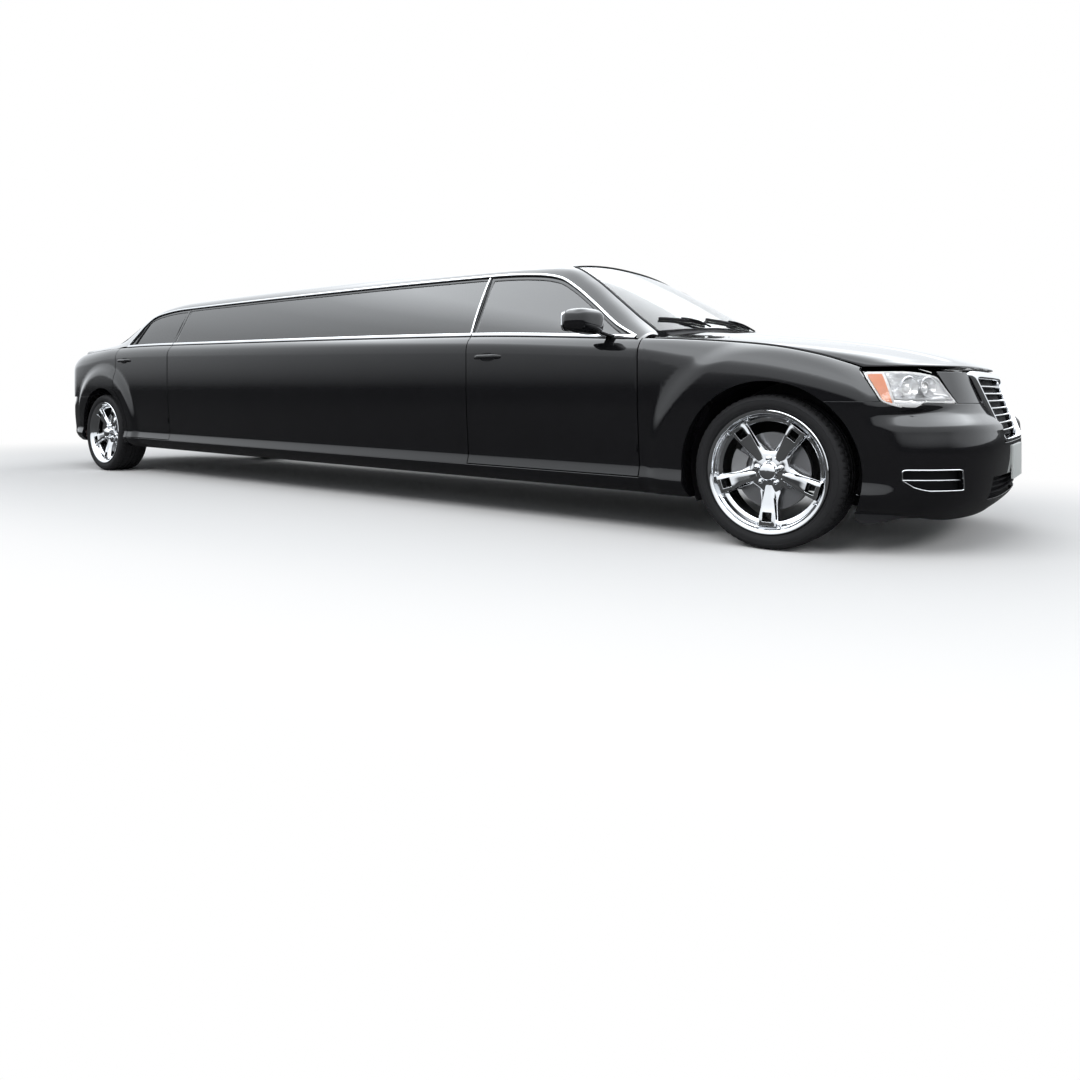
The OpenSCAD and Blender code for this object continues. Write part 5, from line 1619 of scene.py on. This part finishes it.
    def build(self) -> None:
        """Makes the wheel's pieces."""
        body = f"wheel_{self.name}"
        arms = [self.turned(self.spoke(), 90 + 72 * i) for i in range(self.spokes)]
        put(f"rim_barrel_{self.name}", self.stand(self.barrel()), CHROME, body, (f"rim_{self.name}",), sharp=45)
        put(f"rim_spokes_{self.name}", self.stand(join(*arms)), CHROME, body, bevel=1.2, sharp=50)
        put(f"rim_hub_{self.name}", self.stand(join(self.hub(), self.studs())), CHROME, body, sharp=45)
        put(f"tyre_skin_{self.name}", self.stand(self.tyre()), RUBBER, body, (f"tyre_{self.name}",), sharp=30)


@dataclass
class Cabin:
    """Seats, dashboard and lounge, seen through the glass and the open doors."""

    floor_z: float = 252.4

    def seat(self, y: float) -> list[Patch]:
        """Front seat: cushion, back, bolsters and headrest.

        Args:
            y: its middle.

        Returns:
            Its paddings.
        """
        z, x = self.floor_z + 60, XF - 1240
        tilt = math.radians(14)
        back = pillow((-75, y - 250, 0), (75, y + 250, 640), 4.5, 4)
        rest = pillow((-52, y - 135, 640), (52, y + 135, 800), 3.2)
        wings = [pillow((-60, y + s * 190 - 55, 20), (110, y + s * 190 + 55, 520), 3.0) for s in (-1, 1)]
        out = [pillow((x - 530, y - 255, z), (x + 5, y + 255, z + 170), 4.5, 4)]
        c, s = math.cos(tilt), math.sin(tilt)
        for p in (back, rest, *wings):
            vx, vy, vz = p.verts.T
            out.append(Patch(np.c_[x - 430 + c * vx - s * vz, vy, z + 120 + s * vx + c * vz], p.faces))
        return out

    def build(self) -> None:
        """Makes every piece."""
        z = self.floor_z
        for n, y in (("right", -370.0), ("left", 370.0)):
            base = pillow((XF - 1700, y - 180, z), (XF - 1300, y + 180, z + 62), 12.0, n=20)
            stands = ("front_seats",) if n == "right" else ()
            put(f"front_seat_{n}", join(*self.seat(y)), HIDE, stands_for=stands, sharp=70)
            put(f"front_seat_base_{n}", base, TRIM)
        bench = [((540, 1065), (0, 250)), ((496, 640), (210, 825))]
        soft = [pillow((XR + x0, s * 345 - 345, z + z0), (XR + x1, s * 345 + 345, z + z1), 6.0, 6)
                for (x0, x1), (z0, z1) in bench for s in (-1, 1)]
        sofa = [((300, 765), (0, 250)), ((690, 795), (220, 705))]
        soft += [pillow((XR + a, y0, z + z0), (XR + a + 690, y1, z + z1), 6.0)
                 for (y0, y1), (z0, z1) in sofa for a in (1066, 1756, 2446)]
        put("lounge_cushions", join(*soft), HIDE, stands_for=("lounge_seats",), sharp=70)
        v, u = np.linspace(-720, 720, 60)[:, None], np.linspace(0, 1, 40)[None]
        at = [0, 0.12, 0.3, 0.45, 0.6, 0.8, 1]
        px = np.interp(u, at, [XF - 622, XF - 700, XF - 900, XF - 975, XF - 985, XF - 940, XF - 860])
        pz = np.interp(u, at, [905, 928, 925, 890, 820, 700, 640])
        hood = 24 * np.exp(-((v - 370) / 170) ** 4) * np.exp(-((u - 0.36) / 0.12) ** 2)
        top = points(px - hood, v, pz + hood * 0.3)
        back = top.copy()
        back[..., 0], back[..., 2] = XF - 621, np.minimum(top[..., 2] - 6, 899)
        back[..., 0] = np.maximum(back[..., 0], top[..., 0] + 4)
        desk = pillow((XF - 1100, -130, z), (XF - 760, 130, 655), 9.0, n=30)
        put("dash_pad", join(shell(top, back), desk), TRIM, stands_for=("dashboard",), sharp=60)


@dataclass
class Under:
    """Arch liners, and finishes for the CAD pieces that show as they are."""

    inner_y: float = 505.0
    radius: float = 401.0

    def liner(self, xa: float, inner: float) -> Patch:
        """Half round liner over a wheel.

        Args:
            xa: the axle.
            inner: its inner edge.

        Returns:
            The liner.
        """
        foot = 24 if xa > 0 else 14
        a = np.radians(np.linspace(-foot, 180 + foot, 70))[:, None]
        y = np.linspace(inner, HALF_W - WALL - 3, 14)[None]
        faces = (self.radius, self.radius + 5)
        return shell(*(points(xa + r * np.cos(a), y, HUB_Z + r * np.sin(a)) for r in faces))

    def well(self, xa: float, y: float, low: float) -> Patch:
        """Inner wall of a wheel well, clear of the axle's arms.

        Args:
            xa: the axle.
            y: its outer face.
            low: turn of its front end in degrees; below the hub it stays ahead of the arms.

        Returns:
            The wall.
        """
        a, f = np.radians(np.linspace(low, 161, 60))[:, None], np.linspace(0, 1, 4)[None]
        ahead, above = (k / np.maximum(q, 0.02) for k, q in ((140, np.cos(a)), (122, np.sin(a))))
        r = mix(np.minimum(ahead, above) if low < 0 else above, self.radius, f)
        return shell(*(points(xa + r * np.cos(a), q, HUB_Z + r * np.sin(a)) for q in (y, y - 4)))

    def build(self) -> None:
        """Makes the liners and dresses the frame."""
        put("well_walls", both(join(self.well(XF, 497.0, -24), self.well(XR, 639.0, 19))), TRIM)
        put("arch_liners", both(join(self.liner(XF, self.inner_y), self.liner(XR, 640.0))), TRIM)
        dress = {DULL: ("chassis", "rear_axle", "front_axle"), SATIN: ("exhaust",), PAINT: ("door_hinges",),
                 CAST_ALLOY: ("engine", "knuckle_left", "knuckle_right"), TRIM: ("steering_wheel", "partition"),
                 IRON: tuple(f"disc_{a}_{b}" for a in ("front", "rear") for b in ("left", "right"))}
        for finish, nodes in dress.items():
            for n in nodes:
                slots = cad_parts[n].data.materials
                slots.clear()
                slots.append(finish.material())


@dataclass
class Studio:
    """Floor, light and camera."""

    lens: float = 26.453
    at: tuple[float, float, float] = (4.478, -4.278, 0.677)
    yaw: float = 36.76
    pitch: float = -0.04
    shift_y: float = -0.1339
    sky: float = 4.2
    level: float = 0.62
    ceiling: tuple = ((0.0, 0.015), (0.025, 0.10), (0.07, 0.23), (0.22, 0.26), (0.42, 0.30), (0.54, 0.40), (0.60, 0.54),
                      (0.68, 0.98), (0.84, 0.96), (1.0, 0.74))
    lamps: tuple = (("key", (1.0, -7.0, 6.5), (0.6, 0, 0.6), 9.0, 420.0),
                    ("back", (-2.0, 7.5, 6.0), (-0.5, 0, 0.8), 9.0, 260.0),
                    ("front", (9.5, -2.5, 4.5), (3.0, 0, 0.6), 5.0, 170.0))

    def floor(self) -> None:
        """Plain pale floor that fades into the white backdrop away from the car."""
        mesh = bpy.data.meshes.new("floor")
        mesh.from_pydata([(-90, -90, 0), (90, -90, 0), (90, 90, 0), (-90, 90, 0)], [], [(0, 1, 2, 3)])
        ob = bpy.data.objects.new("floor", mesh)
        bpy.context.scene.collection.objects.link(ob)
        m = bpy.data.materials.new("pale_floor")
        m.use_nodes = True
        s = Shader(m.node_tree)
        at = s.get("Mapping", 0, None, {"Vector": s.get("TexCoord", "Object"), "Scale": (0.16, 0.36, 1)})
        far = s.get("VectorMath", "Value", {"operation": "LENGTH"}, {0: at})
        fade = s.get("MapRange", 0, {"interpolation_type": "SMOOTHSTEP"},
                     {"Value": far, "From Min": 0.72, "From Max": 1.35})
        pale = s.node("BsdfDiffuse", None, {"Color": (0.86, 0.86, 0.86, 1)})
        dim = s.node("BsdfDiffuse", None, {"Color": (0.07, 0.07, 0.07, 1)})
        white = s.node("Emission", None, {"Color": (1, 1, 1, 1), "Strength": 1.0})
        seen, gloss = s.rays()
        base = s.node("MixShader", None, {0: gloss, 1: pale.outputs[0], 2: dim.outputs[0]})
        mixed = s.node("MixShader", None, {0: fade * seen, 1: base.outputs[0], 2: white.outputs[0]})
        s.node("OutputMaterial", None, {"Surface": mixed.outputs[0]})
        mesh.materials.append(m)

    def light(self) -> None:
        """World that is white to the camera, a dark horizon under a bright ceiling to reflections; soft lamps."""
        world = bpy.data.worlds.new("studio")
        bpy.context.scene.world = world
        world.use_nodes = True
        s = Shader(world.node_tree)
        at = s.get("TexCoord", "Generated")
        high = s.get("SeparateXYZ", 2, None, {0: at}) + s.get("SeparateXYZ", 1, None, {0: at}).most(0.0) * 0.15
        stops = [(k, (v,) * 3) for k, v in self.ceiling]
        bright = s.get("ValToRGB", 0, {"stops": stops}, {0: high})
        seen, gloss = s.rays()
        power = gloss * bright * self.sky + (1 - gloss) * self.level
        tone = s.mix(seen, (0.93, 0.965, 1.0), (1.0, 1.0, 1.0))
        back = s.node("Background", None, {"Color": tone, "Strength": power * (1 - seen) + seen})
        s.node("OutputWorld", None, {"Surface": back.outputs[0]})
        for name, at, to, size, energy in self.lamps:
            data = bpy.data.lights.new(name, "AREA")
            data.shape, data.size, data.size_y, data.energy = "RECTANGLE", size, size * 0.4, energy
            ob = bpy.data.objects.new(name, data)
            ob.location = at
            d = np.array(to) - at
            ob.rotation_euler = (math.atan2(math.hypot(d[0], d[1]), -d[2]), 0, math.atan2(d[1], d[0]) - math.pi / 2)
            ob.visible_glossy = False
            bpy.context.scene.collection.objects.link(ob)

    def camera(self) -> None:
        """Camera at the photograph's place."""
        data = bpy.data.cameras.new("camera")
        data.sensor_width, data.lens, data.shift_y = 36.0, self.lens, self.shift_y
        ob = bpy.data.objects.new("camera", data)
        ob.location = self.at
        ob.rotation_euler = (math.radians(90 + self.pitch), 0, math.radians(self.yaw))
        bpy.context.scene.collection.objects.link(ob)
        bpy.context.scene.camera = ob

    def build(self) -> None:
        """Makes the studio."""
        bpy.context.scene.view_settings.view_transform = "Standard"
        self.camera()
        self.floor()
        self.light()


def main() -> None:
    """Builds the car's sub-assemblies in order."""
    logging.basicConfig(level=logging.INFO, format="%(name)s: %(message)s")
    Studio().build()
    for part in (SideWalls(), Top(), Nose(), Tail(), Cabin(), Under()):
        LOG.info("building %s", type(part).__name__)
        part.build()
    for end, x in (("front", XF), ("rear", XR)):
        for side, s in SIDES:
            Wheel(f"{end}_{side}", x, s).build()


if __name__ == "__main__":
    main()
